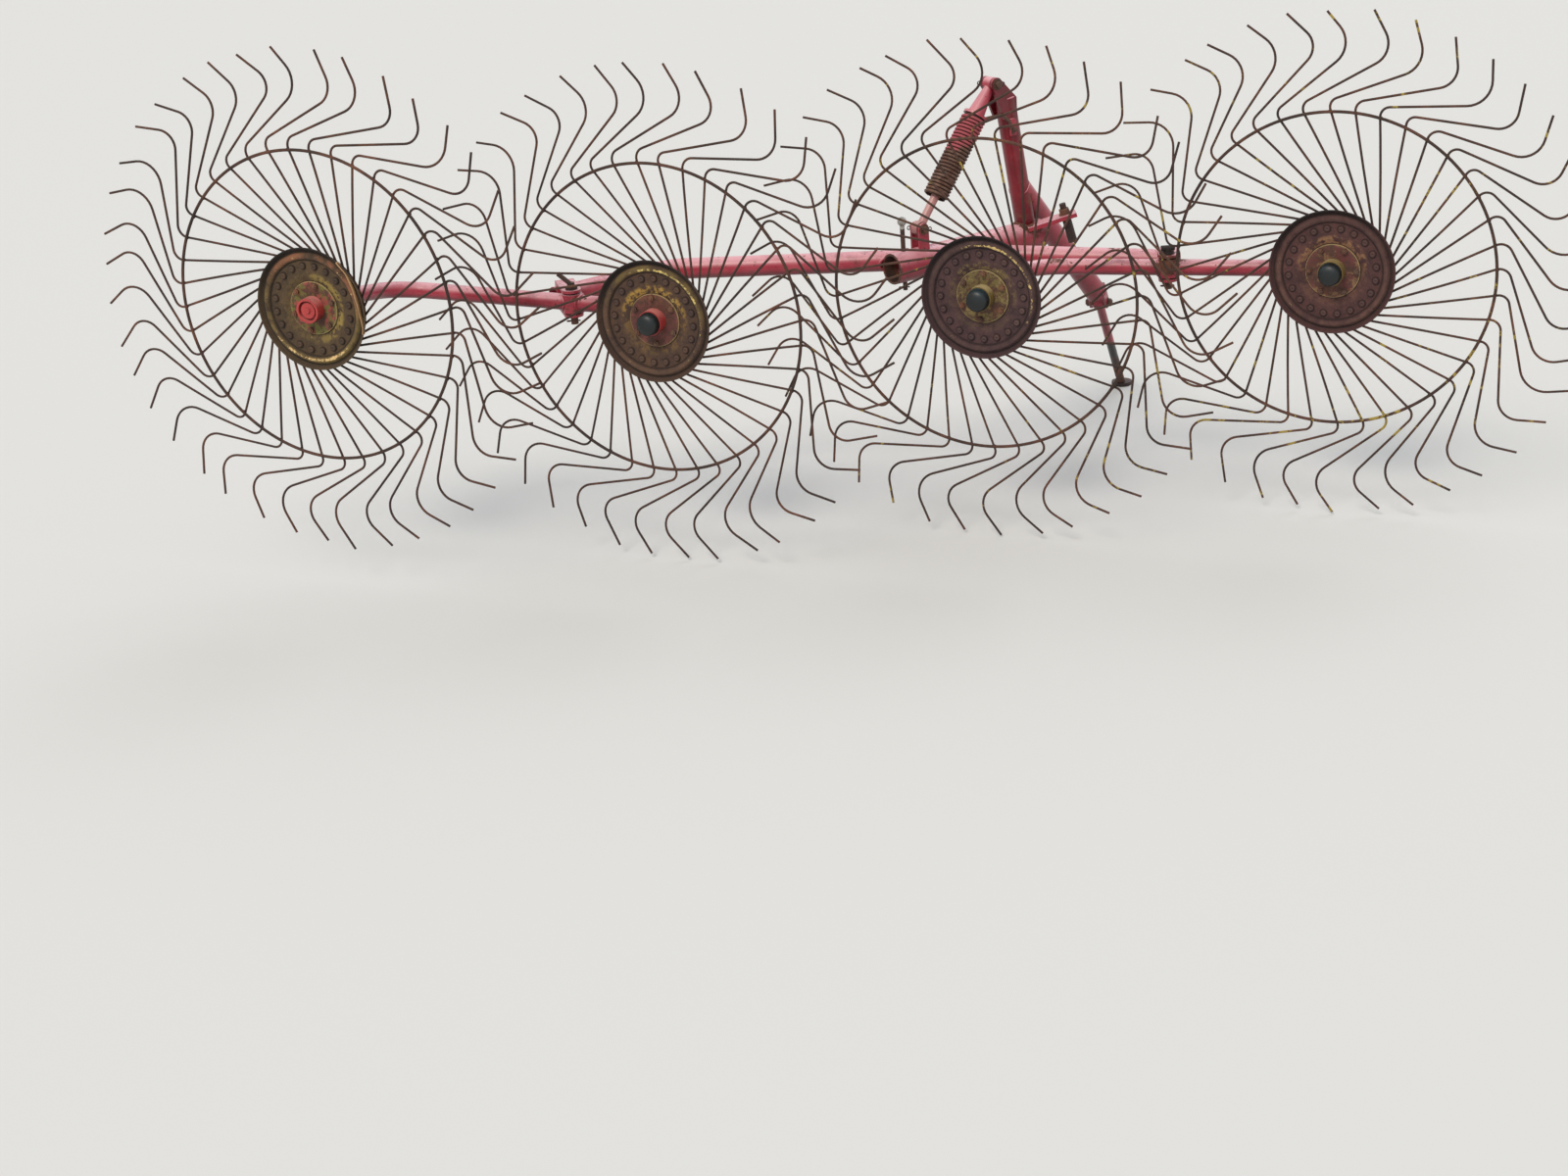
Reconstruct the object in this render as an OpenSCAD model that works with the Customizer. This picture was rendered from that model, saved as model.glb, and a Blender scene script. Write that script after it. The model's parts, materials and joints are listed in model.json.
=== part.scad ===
// Mounted wheel hay rake: four raking wheels on two swivelling carriers, parked on its stand leg.
// Across the row of wheels is X, away from the raking side is Y, up is Z. Millimetres.

/* [Raking wheels] */
// Radius of the circle the tine tips run on
tip_radius = 734; // [650:1:800]
// Radius of the wire hoop, at the wire's middle
hoop_radius = 450; // [400:1:500]
// Thickness of the hoop wire
hoop_wire = 9; // [6:0.5:12]
// Thickness of the tine wire
tine_wire = 7; // [5:0.5:9]
// Height the first wheel is carried over the others
first_lift = 108; // [0:1:140]
// Tines on each wheel
tine_count = 40; // [20:2:48]
// Radius of the outer edge of the pressed disc
disc_radius = 179; // [150:1:210]
// Angle the wheels are turned out of the row
wheel_yaw = 24; // [0:0.5:45]
// Distance between the first and second wheel
gap_one_two = 960; // [900:1:1100]
// Distance between the second and third wheel
gap_two_three = 934; // [880:1:1100]
// Distance between the third and fourth wheel
gap_three_four = 993; // [900:1:1100]

/* [Tines] */
// Radius of the first bend's corner, outside the hoop
bend_one_radius = 480; // [460:1:520]
// Angle run round the wheel from the disc edge to the first corner
bend_one_turn = 30; // [15:0.5:40]
// Radius of the second bend's corner
bend_two_radius = 626; // [580:1:660]
// Angle round the wheel of the second corner
bend_two_turn = 3.5; // [-10:0.5:15]
// Angle round the wheel of the tip
tip_turn = 10.5; // [0:0.5:20]
// Bend radius of the first corner
bend_one_round = 28; // [15:1:40]
// Bend radius of the second corner
bend_two_round = 60; // [20:1:70]
// Length of each tine's inner end under the disc's edge, as a difference in radius
tine_tuck = 39; // [24:1:44]

/* [Hub] */
// Sheet thickness of the pressed disc
disc_sheet = 3; // [2:0.5:5]
// Thickness of the back clamp plate
back_plate_thick = 4; // [3:0.5:8]
// Radius of the hub tube
hub_tube_radius = 36; // [25:0.5:45]
// Front end of the hub tube, from the tine plane
hub_front = 46; // [30:1:90]
// Back end of the hub tube, from the tine plane
hub_back = 62; // [40:1:90]
// Depth of the recess in the first wheel's open hub
nose_recess = 14; // [13:0.5:20]
// Radius of the wheel axle
axle_radius = 15; // [12:0.5:20]
// Radial play between axle and hub
axle_play = 0.05; // [0.02:0.01:0.1]
// Radius of the domed end cap
cap_radius = 33.5; // [28:0.5:42]
// Length of the domed end cap
cap_length = 30; // [15:1:45]

/* [Carriers] */
// Outer diameter of the carrier tubes
carrier_tube = 48.3; // [40:0.1:52]
// Wall of the carrier tubes
carrier_wall = 4; // [2.5:0.1:6]
// Angle the carriers are turned out of the row
carrier_slant = 19.8; // [19:0.1:22]
// How far behind its right-hand wheel each carrier ends
carrier_reach = 94; // [92:1:110]
// Bend radius of the carriers
carrier_bend = 110; // [80:1:140]
// Height of the left carrier's bend under the first wheel's axle
left_bend_drop = 57; // [40:1:70]
// Height of the right carrier's bend under the third wheel's axle
right_bend_drop = 26; // [0:1:40]
// Height of the right carrier's end under the fourth wheel's axle
right_end_drop = 20; // [0:1:26]
// Radius of the bosses that hold the axles
boss_radius = 30; // [26:0.5:40]
// Length of the bosses
boss_length = 50; // [40:1:60]
// Distance of the left swivel from its carrier's right-hand end
left_swivel_reach = 308; // [280:1:340]
// Distance of the right swivel from its carrier's right-hand end
right_swivel_reach = 496; // [470:1:520]

/* [Frame] */
// Outer diameter of the side beams
beam_tube = 63.5; // [50:0.1:76]
// Wall of the side beams
beam_wall = 4; // [3:0.1:6]
// Height of the main tube over the wheel axles
frame_rise = -6; // [-10:1:0]
// Distance of the right beam behind the right carrier
beam_gap = 103; // [100:1:115]
// Place along the main tube where the left beam starts
left_beam_along = 85; // [80:1:95]
// Place along the main tube where the right beam starts
right_beam_along = 302; // [280:1:320]
// Height of the left beam over the main tube's axis
left_beam_rise = 12; // [4:1:12]
// How far the right beam's start lies under the main tube's axis
right_beam_drop = 14; // [4:1:14]
// How far the left beam's end lies to the left of its swivel
left_end_out = 65; // [55:1:70]
// How far the left beam's end lies behind its swivel
left_end_back = 120; // [115:1:130]
// How far the left beam's bend lies to the right of its swivel
left_knee_in = 275; // [260:1:290]
// How far the left beam's bend lies behind its swivel
left_knee_back = 366; // [355:1:380]
// Bend radius of the left beam
beam_bend = 120; // [90:1:150]
// Outer diameter of the main tube with the open socket
main_tube = 94; // [80:0.1:110]
// Wall of the main tube
main_wall = 7; // [5:0.1:12]
// Depth of the wide lip in the main tube's open end
lip_depth = 36; // [30:1:37]
// Length of the main tube
main_length = 575; // [570:1:590]
// Direction of the main tube, turned from the row
main_turn = 34; // [20:0.5:70]
// Place of the main tube's open end across the row
socket_across = 210; // [100:1:300]
// Place of the main tube's open end behind the row
socket_back = 400; // [330:1:450]

/* [Swivels] */
// Radius of the swivel pins
swivel_pin_radius = 11; // [8:0.5:16]
// Radial play of the swivel pins in the carrier
swivel_play = 0.05; // [0.02:0.01:0.1]
// Radius of the swivel collar on the carrier
collar_radius = 30; // [26:0.5:36]
// Height of the swivel collar
collar_height = 54; // [54:1:60]
// Thickness of the bracket plates over and under the collar
bracket_plate = 8; // [5:0.5:12]

/* [Headstock] */
// Outer diameter of the mast
mast_tube = 63; // [50:0.1:80]
// Wall of the mast and the strut
mast_wall = 5; // [3:0.1:8]
// Place of the mast's foot along the main tube
mast_along = 527; // [400:1:700]
// Height of the mast's top over the main tube
mast_rise = 442; // [350:1:600]
// Height of the top pin over the mast tube's end
apex_rise = 49; // [40:1:90]
// How far the top pin stands out from the mast toward the spring
apex_out = 50; // [30:1:80]
// How far the mast's top leans back over the main tube
mast_lean = 70; // [0:1:160]
// Share of the mast's height where the strut starts
strut_share = 0.36; // [0.2:0.01:0.7]
// Outer diameter of the strut
strut_tube = 70; // [50:0.1:80]
// Place of the strut's lower end across the row
strut_end_across = 900; // [880:1:920]
// Place of the strut's lower end behind the row
strut_end_back = 1031; // [1010:1:1050]
// Height of the strut's lower end
strut_end_height = 439; // [420:1:460]

/* [Stand] */
// How far the stand's bolt lies out from the strut's end
stand_bolt_out = 42; // [38:1:50]
// How far the stand's bolt lies under the strut's end
stand_bolt_drop = 43; // [38:1:50]
// Place of the stand's foot across the row
foot_across = 1030; // [800:1:1300]
// Place of the stand's foot behind the row
foot_back = 1420; // [1000:1:1600]
// Thickness of the stand's rod
stand_rod = 28; // [20:0.5:40]
// Diameter of the stand's foot
foot_round = 70; // [40:1:120]

/* [Spring] */
// Outer diameter of the coil
coil_outer = 76; // [60:1:90]
// Wire of the coil
coil_wire = 9.6; // [6:0.5:12]
// Turns of the coil
coil_turns = 30; // [10:1:36]
// Share of the strut's length where the coil starts
coil_low = 0.218; // [0.1:0.005:0.4]
// Share of the strut's length where the coil ends
coil_high = 0.771; // [0.5:0.005:0.85]
// Thickness of the spring's rod
spring_rod = 26; // [16:0.5:34]
// Place of the spring's lower eye along the main tube
eye_along = 110; // [60:1:200]
// Height of the spring's lower eye over the main tube's axis
eye_rise = 104; // [70:1:140]

/* [Hitch] */
// Radius of the hitch pin
hitch_pin_radius = 14; // [11:0.5:18]
// Length of the hitch pin below its plate
hitch_pin_length = 78; // [50:1:110]
// Thickness of the hitch plate
hitch_plate_thick = 12; // [8:0.5:20]
// Lean of the hitch plate
hitch_lean = 14; // [0:0.5:25]

/* [Hidden] */
$fn = 48;
hub_height = tip_radius;
row_length = gap_one_two + gap_two_three + gap_three_four;
hub_x = [-row_length / 2,
         -row_length / 2 + gap_one_two,
         -row_length / 2 + gap_one_two + gap_two_three,
         row_length / 2];
frame_z = hub_height + frame_rise;
bore = axle_radius + axle_play;
back_front_gap = tine_wire / 2 + 0.3;
carrier_r = carrier_tube / 2;
beam_r = beam_tube / 2;
main_r = main_tube / 2;
main_dir = [cos(main_turn), sin(main_turn), 0];
socket_end = [socket_across, socket_back, frame_z];
mast_foot = socket_end + main_dir * mast_along;
mast_top = mast_foot + [0, 0, mast_rise] - main_dir * mast_lean;
mast_line = mast_top - mast_foot;
mast_unit = mast_line / norm(mast_line);
strut_start = mast_foot + mast_line * strut_share;
strut_end = [strut_end_across, strut_end_back, strut_end_height];
strut_unit = (strut_end - strut_start) / norm(strut_end - strut_start);
foot_at = [foot_across, foot_back, 0];
stand_turn = atan2(foot_back - strut_end_back, foot_across - strut_end_across);
stand_side = [-sin(stand_turn), cos(stand_turn), 0];
stand_bolt_at = strut_end
    + [cos(stand_turn) * stand_bolt_out, sin(stand_turn) * stand_bolt_out, -stand_bolt_drop];
eye_at = socket_end + main_dir * eye_along + [0, 0, eye_rise];
apex_at = mast_top + [0, 0, apex_rise] - main_dir * apex_out;
spring_line = apex_at - eye_at;
spring_unit = spring_line / norm(spring_line);

function hub_z(i) = hub_height + (i == 0 ? first_lift : 0);
back_dir = [sin(wheel_yaw), cos(wheel_yaw), 0];
slant_dir = [cos(carrier_slant), -sin(carrier_slant), 0];
slant_back = [sin(carrier_slant), cos(carrier_slant), 0];
boss_front = hub_back + 5;
axle_reach = boss_length + 6;
function behind(i, t, z) = [hub_x[i], 0, z] + back_dir * t;
function bend_reach(i) = carrier_reach
    + (hub_x[i + 1] - hub_x[i]) * sin(carrier_slant) / cos(wheel_yaw - carrier_slant);
left_bend_at = behind(0, bend_reach(0), hub_z(0) - left_bend_drop);
left_end_at = behind(1, carrier_reach, hub_z(1));
right_bend_at = behind(2, bend_reach(2), hub_z(2) - right_bend_drop);
right_end_at = behind(3, carrier_reach, hub_z(3) - right_end_drop);
left_swivel_at = left_end_at + unit(left_bend_at - left_end_at) * left_swivel_reach;
right_swivel_at = right_end_at + unit(right_bend_at - right_end_at) * right_swivel_reach;
front_reach = tip_radius * sin(wheel_yaw) + tine_wire / 2 * cos(wheel_yaw);
middle_back = (foot_back + foot_round / 2 - front_reach) / 2;
plate_low = collar_height / 2 + 5;
left_beam_start = socket_end + main_dir * left_beam_along + [0, 0, left_beam_rise];
left_beam_knee = [left_swivel_at[0] + left_knee_in, left_swivel_at[1] + left_knee_back, left_beam_start[2]];
left_beam_end = [left_swivel_at[0] - left_end_out, left_swivel_at[1] + left_end_back, left_beam_start[2]];
right_beam_start = socket_end + main_dir * right_beam_along - [0, 0, right_beam_drop];
right_beam_end = right_swivel_at + slant_back * beam_gap + slant_dir * 12 - [0, 0, 6];
bracket_short = 36;
spring_length = norm(spring_line);
coil_pitch = (coil_high - coil_low) * spring_length / coil_turns;
coil_top = coil_high * spring_length;
hitch_at = mast_foot + [0, 0, 30];
pin_out = mast_tube / 2 + 90;

function polar(r, a) = [r * cos(a), r * sin(a)];
function unit(v) = v / norm(v);
function turn_of(v) = atan2(v[1], v[0]);

corner_one = polar(bend_one_radius, bend_one_turn);
corner_two = polar(bend_two_radius, bend_two_turn);
tine_tip = polar(tip_radius - tine_wire * 0.12, tip_turn);
leg_one = unit(corner_one - [disc_radius, 0]);
leg_two = unit(corner_two - corner_one);
leg_three = unit(tine_tip - corner_two);
leg_one_arm = norm(corner_one - [disc_radius, 0]);
tine_start_radius = disc_radius - tine_tuck;
start_reach = -(disc_radius * leg_one[0]) +
    sqrt(pow(disc_radius * leg_one[0], 2) - pow(disc_radius, 2) + pow(tine_start_radius, 2));
tine_start = [disc_radius, 0] + leg_one * start_reach;
turn_one = turn_of(leg_one) - turn_of(leg_two);
turn_two = turn_of(leg_three) - turn_of(leg_two);
cut_one = bend_one_round * tan(turn_one / 2);
cut_two = bend_two_round * tan(turn_two / 2);
bend_swell = 0.1;

// Moves a piece so that the middle of the rake's base is the origin
module placed() {
    translate([0, -middle_back, 0]) children();
}

// Lays a child drawn along Z between two points
module between(a, b) {
    v = b - a;
    translate(a)
        rotate([0, acos(v[2] / norm(v)), atan2(v[1], v[0])])
            children();
}

// Solid round bar between two points
module bar(a, b, r) {
    between(a, b) cylinder(h = norm(b - a), r = r);
}

// Solid round bar turned about its own length, so that its seam lies off the middle plane
module turned_bar(a, b, r) {
    between(a, b) rotate([0, 0, 37]) cylinder(h = norm(b - a), r = r);
}

// Tube between two points
module pipe(a, b, r, wall) {
    between(a, b)
        difference() {
            cylinder(h = norm(b - a), r = r);
            translate([0, 0, -1]) cylinder(h = norm(b - a) + 2, r = r - wall);
        }
}

// Puts a child drawn about Z at a wheel, its front toward the raking side
module at_wheel(i) {
    translate([hub_x[i], 0, hub_z(i)])
        rotate([0, 0, -wheel_yaw])
            rotate([90, 0, 0])
                children();
}

// Solid round bar from a to b with a round bend near the corner
module bent_bar(a, corner, b, r, bend) {
    u = unit(a - corner);
    v = unit(b - corner);
    half = acos(u * v) / 2;
    middle = corner + unit(u + v) * bend / sin(half);
    start = corner + u * bend / tan(half);
    stop = corner + v * bend / tan(half);
    out = unit(start - middle);
    axis = unit(cross(start - middle, stop - middle));
    up = cross(axis, out);
    turned_bar(a, start - u * 1.2, r - bend_swell);
    turned_bar(b, stop - v * 1.2, r - bend_swell);
    multmatrix([[out[0], up[0], axis[0], middle[0]],
                [out[1], up[1], axis[1], middle[1]],
                [out[2], up[2], axis[2], middle[2]],
                [0, 0, 0, 1]])
        rotate_extrude(angle = 180 - 2 * half) translate([bend, 0]) circle(r = r);
}

// Straight wire in the wheel's plane, a hair thinner than the bends it enters at either end
module wire(a, b, in_a, in_b) {
    translate([a[0], a[1], 0])
        rotate([0, 0, turn_of(b - a)])
            rotate([0, 90, 0])
                translate([0, 0, -in_a])
                    cylinder(h = norm(b - a) + in_a + in_b, r = tine_wire / 2 - bend_swell);
}

// One tine: straight inner leg, sharp bend, cross leg, round bend and tip
module tine() {
    wire(tine_start, corner_one - leg_one * cut_one, 0, 1.2);
    translate(concat(corner_one - leg_one * cut_one
        + bend_one_round * [leg_one[1], -leg_one[0]], [0]))
        rotate([0, 0, turn_of(leg_two) + 90])
            rotate_extrude(angle = turn_one)
                translate([bend_one_round, 0]) circle(r = tine_wire / 2);
    wire(corner_one + leg_two * cut_one, corner_two - leg_two * cut_two, 1.2, 1.2);
    translate(concat(corner_two - leg_two * cut_two
        + bend_two_round * [-leg_two[1], leg_two[0]], [0]))
        rotate([0, 0, turn_of(leg_two) - 90])
            rotate_extrude(angle = turn_two)
                translate([bend_two_round, 0]) circle(r = tine_wire / 2);
    wire(corner_two + leg_three * cut_two, tine_tip, 1.2, 0);
}

// Wire hoop with its forty tines
module tine_ring() {
    rotate_extrude()
        translate([hoop_radius, 0]) circle(r = hoop_wire / 2);
    for (k = [0 : tine_count - 1])
        rotate([0, 0, k * 360 / tine_count])
            translate([0, 0, -(hoop_wire + tine_wire) / 2 + 1.2]) tine();
}

module wheel_tines(i) {
    color("#4a362c")
        at_wheel(i)
            translate([0, 0, (hoop_wire + tine_wire) / 2 - 1.2]) tine_ring();
}

// Pressed disc in front of the tines
module wheel_disc(i) {
    z0 = back_front_gap;
    t = disc_sheet;
    color("#6b5240")
        at_wheel(i)
            rotate_extrude()
                polygon([[hub_tube_radius + 0.3, z0], [disc_radius * 0.45, z0],
                         [disc_radius * 0.54, z0 + 9], [disc_radius * 0.785, z0 + 9],
                         [disc_radius * 0.825, z0 + 16], [disc_radius * 0.86, z0 + 18],
                         [disc_radius * 0.885, z0 + 16], [disc_radius * 0.925, z0 + 9],
                         [disc_radius * 0.965, z0 + 12], [disc_radius, z0 + 22],
                         [disc_radius, z0 + 25], [disc_radius * 0.98, z0 + 25],
                         [disc_radius * 0.95, z0 + 14.5], [disc_radius * 0.925, z0 + 12.5],
                         [disc_radius * 0.9, z0 + 16], [disc_radius * 0.87, z0 + 18 + t],
                         [disc_radius * 0.85, z0 + 18 + t], [disc_radius * 0.81, z0 + 16 + t],
                         [disc_radius * 0.77, z0 + 9 + t], [disc_radius * 0.53, z0 + 9 + t],
                         [disc_radius * 0.44, z0 + t], [hub_tube_radius + 0.3, z0 + t]]);
}

// Flat clamp plate behind the tines
module wheel_back_plate(i) {
    color("#6b5240")
        at_wheel(i)
            translate([0, 0, -back_front_gap - back_plate_thick])
                difference() {
                    cylinder(h = back_plate_thick, r = disc_radius * 0.9);
                    translate([0, 0, -1])
                        cylinder(h = back_plate_thick + 2, r = hub_tube_radius + 0.3);
                }
}

// Turned hub with its flange, running on the axle
module wheel_hub(i) {
    color("#7a2a22")
        at_wheel(i)
            difference() {
                union() {
                    translate([0, 0, -hub_back]) cylinder(h = hub_back + hub_front, r = hub_tube_radius);
                    translate([0, 0, -back_front_gap - back_plate_thick - 8.3])
                        cylinder(h = 8, r = disc_radius * 0.43);
                    translate([0, 0, back_front_gap + disc_sheet + 0.3])
                        cylinder(h = 5, r = disc_radius * 0.43);
                }
                translate([0, 0, -hub_back - 1]) cylinder(h = hub_back + hub_front + 2, r = bore);
                if (i == 0)
                    translate([0, 0, hub_front - nose_recess])
                        cylinder(h = nose_recess + 1, r = hub_tube_radius - 7);
            }
}

// Domed cap on the end of the hub
module wheel_cap(i) {
    color("#1c2226")
        at_wheel(i)
            translate([0, 0, hub_front + 0.3])
                difference() {
                    union() {
                        cylinder(h = cap_length * 0.6, r = cap_radius);
                        translate([0, 0, cap_length * 0.6])
                            cylinder(h = cap_length * 0.4, r1 = cap_radius, r2 = cap_radius * 0.6);
                    }
                    translate([0, 0, -1]) cylinder(h = cap_length * 0.6 + 1, r = cap_radius - 4);
                }
}

// Axle of one wheel, out of its carrier
module axle(i) {
    stub = i == 0 ? hub_front - 9 : hub_front + 16;
    color("#5b4a42")
        at_wheel(i) {
            translate([0, 0, -boss_front - axle_reach]) cylinder(h = axle_reach, r = 20);
            translate([0, 0, -boss_front - 1]) cylinder(h = boss_front + 1 + stub, r = axle_radius);
        }
}

// Washer and bolt on the open axle end of the first wheel
module axle_nut() {
    color("#5b4a42")
        at_wheel(0)
            translate([0, 0, hub_front - 8.7]) {
                cylinder(h = 5, r = hub_tube_radius - 13);
                translate([0, 0, 4.5]) cylinder(h = 5, r = 8, $fn = 6);
            }
}

// Carrier tube from the boss of wheel i round its bend to the boss of wheel j
module carrier(i, j, bend_at, end_at, swivel_at) {
    along = unit(bend_at - end_at);
    start_at = behind(i, boss_front + boss_length - 17, hub_z(i));
    difference() {
        union() {
            bent_bar(start_at, bend_at, end_at, carrier_r, carrier_bend);
            for (k = [i, j])
                at_wheel(k)
                    translate([0, 0, -boss_front - boss_length])
                        cylinder(h = boss_length, r = boss_radius);
            translate(swivel_at - [0, 0, collar_height / 2])
                cylinder(h = collar_height, r = collar_radius);
        }
        turned_bar(bend_at - along * (carrier_bend + 12), end_at + along * (boss_radius + 8),
                   carrier_r - carrier_wall);
        translate(swivel_at - [0, 0, collar_height])
            cylinder(h = collar_height * 2, r = swivel_pin_radius + swivel_play);
        for (k = [i, j])
            at_wheel(k)
                translate([0, 0, -boss_front - axle_reach - 1])
                    cylinder(h = axle_reach + 30, r = 20.3);
    }
}

module left_carrier() {
    color("#a8303c") carrier(0, 1, left_bend_at, left_end_at, left_swivel_at);
}

module right_carrier() {
    color("#a8303c") carrier(2, 3, right_bend_at, right_end_at, right_swivel_at);
}

// Fork that reaches from a beam round the swivel collar, over and under it
module bracket(swivel_at, beam_end, beam_from) {
    on = beam_end + unit(beam_from - beam_end) * bracket_short;
    way = [on[0] - swivel_at[0], on[1] - swivel_at[1]];
    reach = norm(way);
    wide = 28;
    color("#a8303c")
        difference() {
            translate(swivel_at)
                rotate([0, 0, turn_of(way)]) {
                    for (low = [plate_low, -plate_low - bracket_plate])
                        translate([0, 0, low]) {
                            cylinder(h = bracket_plate, r = wide);
                            translate([0, -wide, 0]) cube([reach - beam_r, wide * 2, bracket_plate]);
                        }
                    translate([reach - beam_r - 14, -wide, -plate_low - bracket_plate])
                        cube([28, wide * 2, 2 * (plate_low + bracket_plate)]);
                }
            translate(swivel_at - [0, 0, 100]) cylinder(h = 200, r = swivel_pin_radius + 0.3);
            bar(beam_end * 2 - on, on + (on - beam_end) * 4, beam_r + 0.3);
        }
}

module left_bracket() {
    bracket(left_swivel_at, left_beam_end, left_beam_knee);
}

module right_bracket() {
    bracket(right_swivel_at, right_beam_end, right_beam_start);
}

// Swivel pin with a shoulder on top of its bracket
module swivel_pin(at) {
    top = plate_low + bracket_plate;
    translate(at - [0, 0, top + 24]) cylinder(h = top * 2 + 44, r = swivel_pin_radius);
    translate(at + [0, 0, top + 0.6]) cylinder(h = 8, r = swivel_pin_radius + 7);
}

// Left swivel pin with its bent handle
module left_swivel_pin() {
    knob = left_swivel_at + [0, 0, plate_low + bracket_plate + 14];
    color("#26221f") {
        swivel_pin(left_swivel_at);
        bar(knob, knob + [-36, 4, 34], 7);
    }
}

// Right swivel pin with its cross knob
module right_swivel_pin() {
    knob = right_swivel_at + [0, 0, plate_low + bracket_plate + 18];
    color("#26221f") {
        swivel_pin(right_swivel_at);
        bar(knob - [20, 0, 0], knob + [20, 0, 0], 8);
    }
}

module right_beam() {
    color("#b8323f")
        difference() {
            pipe(right_beam_start, right_beam_end, beam_r, beam_wall);
            bar(socket_end - main_dir * 50, socket_end + main_dir * main_length, main_r + 0.3);
        }
}

// Left beam, bent forward toward its swivel
module left_beam() {
    in_dir = unit(left_beam_start - left_beam_knee);
    out_dir = unit(left_beam_end - left_beam_knee);
    color("#b8323f")
        difference() {
            bent_bar(left_beam_start, left_beam_knee, left_beam_end, beam_r, beam_bend);
            bar(left_beam_knee + in_dir * 70, left_beam_start, beam_r - beam_wall);
            bar(left_beam_knee + out_dir * 70, left_beam_end + out_dir * 20, beam_r - beam_wall);
            bar(socket_end - main_dir * 50, socket_end + main_dir * main_length, main_r + 0.3);
        }
}

// Thick main tube with its open socket toward the raking side
module main_socket_tube() {
    pin = socket_end + main_dir * 46;
    color("#b8323f")
        difference() {
            pipe(socket_end, socket_end + main_dir * main_length, main_r, main_wall + 1.5);
            bar(socket_end - main_dir, socket_end + main_dir * lip_depth, main_r - main_wall);
            translate(pin - [0, 0, 100]) cylinder(h = 200, r = 7.3);
        }
}

// Knobbed pin across the open socket
module socket_pin() {
    pin = socket_end + main_dir * 46;
    color("#8f8d88") {
        translate(pin - [0, 0, main_r + 26]) cylinder(h = main_r * 2 + 110, r = 7);
        translate(pin + [0, 0, main_r + 90]) sphere(r = 14);
    }
}

// Two ears on the main tube that hold the lower eye of the spring
module spring_ears() {
    color("#b8323f")
        difference() {
            on_cross_pin(eye_at)
                for (s = [-19, 19])
                    translate([0, 0, s - 4]) {
                        cylinder(h = 8, r = 18);
                        translate([-18, -eye_rise, 0]) cube([36, eye_rise, 8]);
                    }
            bar(socket_end - main_dir * 50, socket_end + main_dir * main_length, main_r + 0.3);
            on_cross_pin(eye_at) translate([0, 0, -60]) cylinder(h = 120, r = 10.3);
        }
}

// Pin through the spring's lower eye
module spring_pin() {
    color("#5b4a42")
        translate(eye_at)
            rotate([0, 0, main_turn])
                rotate([90, 0, 0])
                    translate([0, 0, -36]) cylinder(h = 72, r = 10);
}

// Puts a child drawn about Z on the cross pin of a point, level and square to the main tube
module on_cross_pin(at) {
    translate(at) rotate([0, 0, main_turn]) rotate([90, 0, 0]) children();
}

// Rod from the lower eye up into the coil
module spring_rod_and_eye() {
    color("#c4525e")
        difference() {
            union() {
                between(eye_at, apex_at)
                    translate([0, 0, 12]) cylinder(h = coil_top - 13, r = spring_rod / 2);
                on_cross_pin(eye_at) translate([0, 0, -13]) cylinder(h = 26, r = 22);
            }
            on_cross_pin(eye_at) translate([0, 0, -60]) cylinder(h = 120, r = 10.3);
        }
}

// Closely wound coil over the rod
module spring_coil() {
    color("#7b4a38")
        between(eye_at, apex_at)
            for (k = [0 : coil_turns - 1])
                translate([0, 0, coil_top - coil_wire / 2 - 0.3 - k * coil_pitch])
                    rotate_extrude()
                        translate([coil_outer / 2 - coil_wire / 2, 0]) circle(r = coil_wire / 2);
}

// Yoke from the coil's upper end to the pin in the mast's ears
module spring_yoke() {
    color("#c4525e")
        difference() {
            union() {
                between(eye_at, apex_at) {
                    translate([0, 0, coil_top]) cylinder(h = 8, r = coil_outer / 2 - 1);
                    translate([0, 0, coil_top + 6])
                        cylinder(h = spring_length - coil_top - 6 - 12, r1 = 27, r2 = 14);
                }
                on_cross_pin(apex_at) translate([0, 0, -17]) cylinder(h = 34, r = 20);
            }
            on_cross_pin(apex_at) translate([0, 0, -60]) cylinder(h = 120, r = 10.3);
        }
}

module mast() {
    color("#7e1a26")
        difference() {
            union() {
                bar(mast_foot, mast_top, mast_tube / 2);
                on_cross_pin(mast_top)
                    for (s = [-24, 24])
                        translate([0, 0, s - 5]) {
                            linear_extrude(10)
                                polygon([[-24, -62], [24, -62], [24, 0],
                                         [14 - apex_out, apex_rise + 14],
                                         [-14 - apex_out, apex_rise - 14]]);
                            translate([-apex_out, apex_rise, 0]) cylinder(h = 10, r = 20);
                        }
            }
            bar(mast_foot - mast_unit, mast_top - mast_unit * 5, mast_tube / 2 - mast_wall);
            bar(socket_end - main_dir * 50, socket_end + main_dir * (main_length + 60), main_r + 0.3);
            translate(apex_at)
                rotate([0, 0, main_turn])
                    rotate([90, 0, 0])
                        translate([0, 0, -60]) cylinder(h = 120, r = 10.3);
        }
}

// Pin through the mast's top ears
module mast_pin() {
    color("#5b4a42")
        translate(apex_at)
            rotate([0, 0, main_turn])
                rotate([90, 0, 0])
                    translate([0, 0, -44]) cylinder(h = 88, r = 10);
}

module strut() {
    color("#c8384a")
        difference() {
            pipe(strut_start, strut_end, strut_tube / 2, mast_wall);
            bar(mast_foot, mast_top, mast_tube / 2 + 0.3);
            bar(socket_end, socket_end + main_dir * (main_length + 0.3), main_r + 0.3);
        }
}

// Puts a child drawn about Z across the stand's leg, its X outward and its Y up
module on_stand(at) {
    translate(at) rotate([0, 0, stand_turn]) rotate([90, 0, 0]) children();
}

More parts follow.
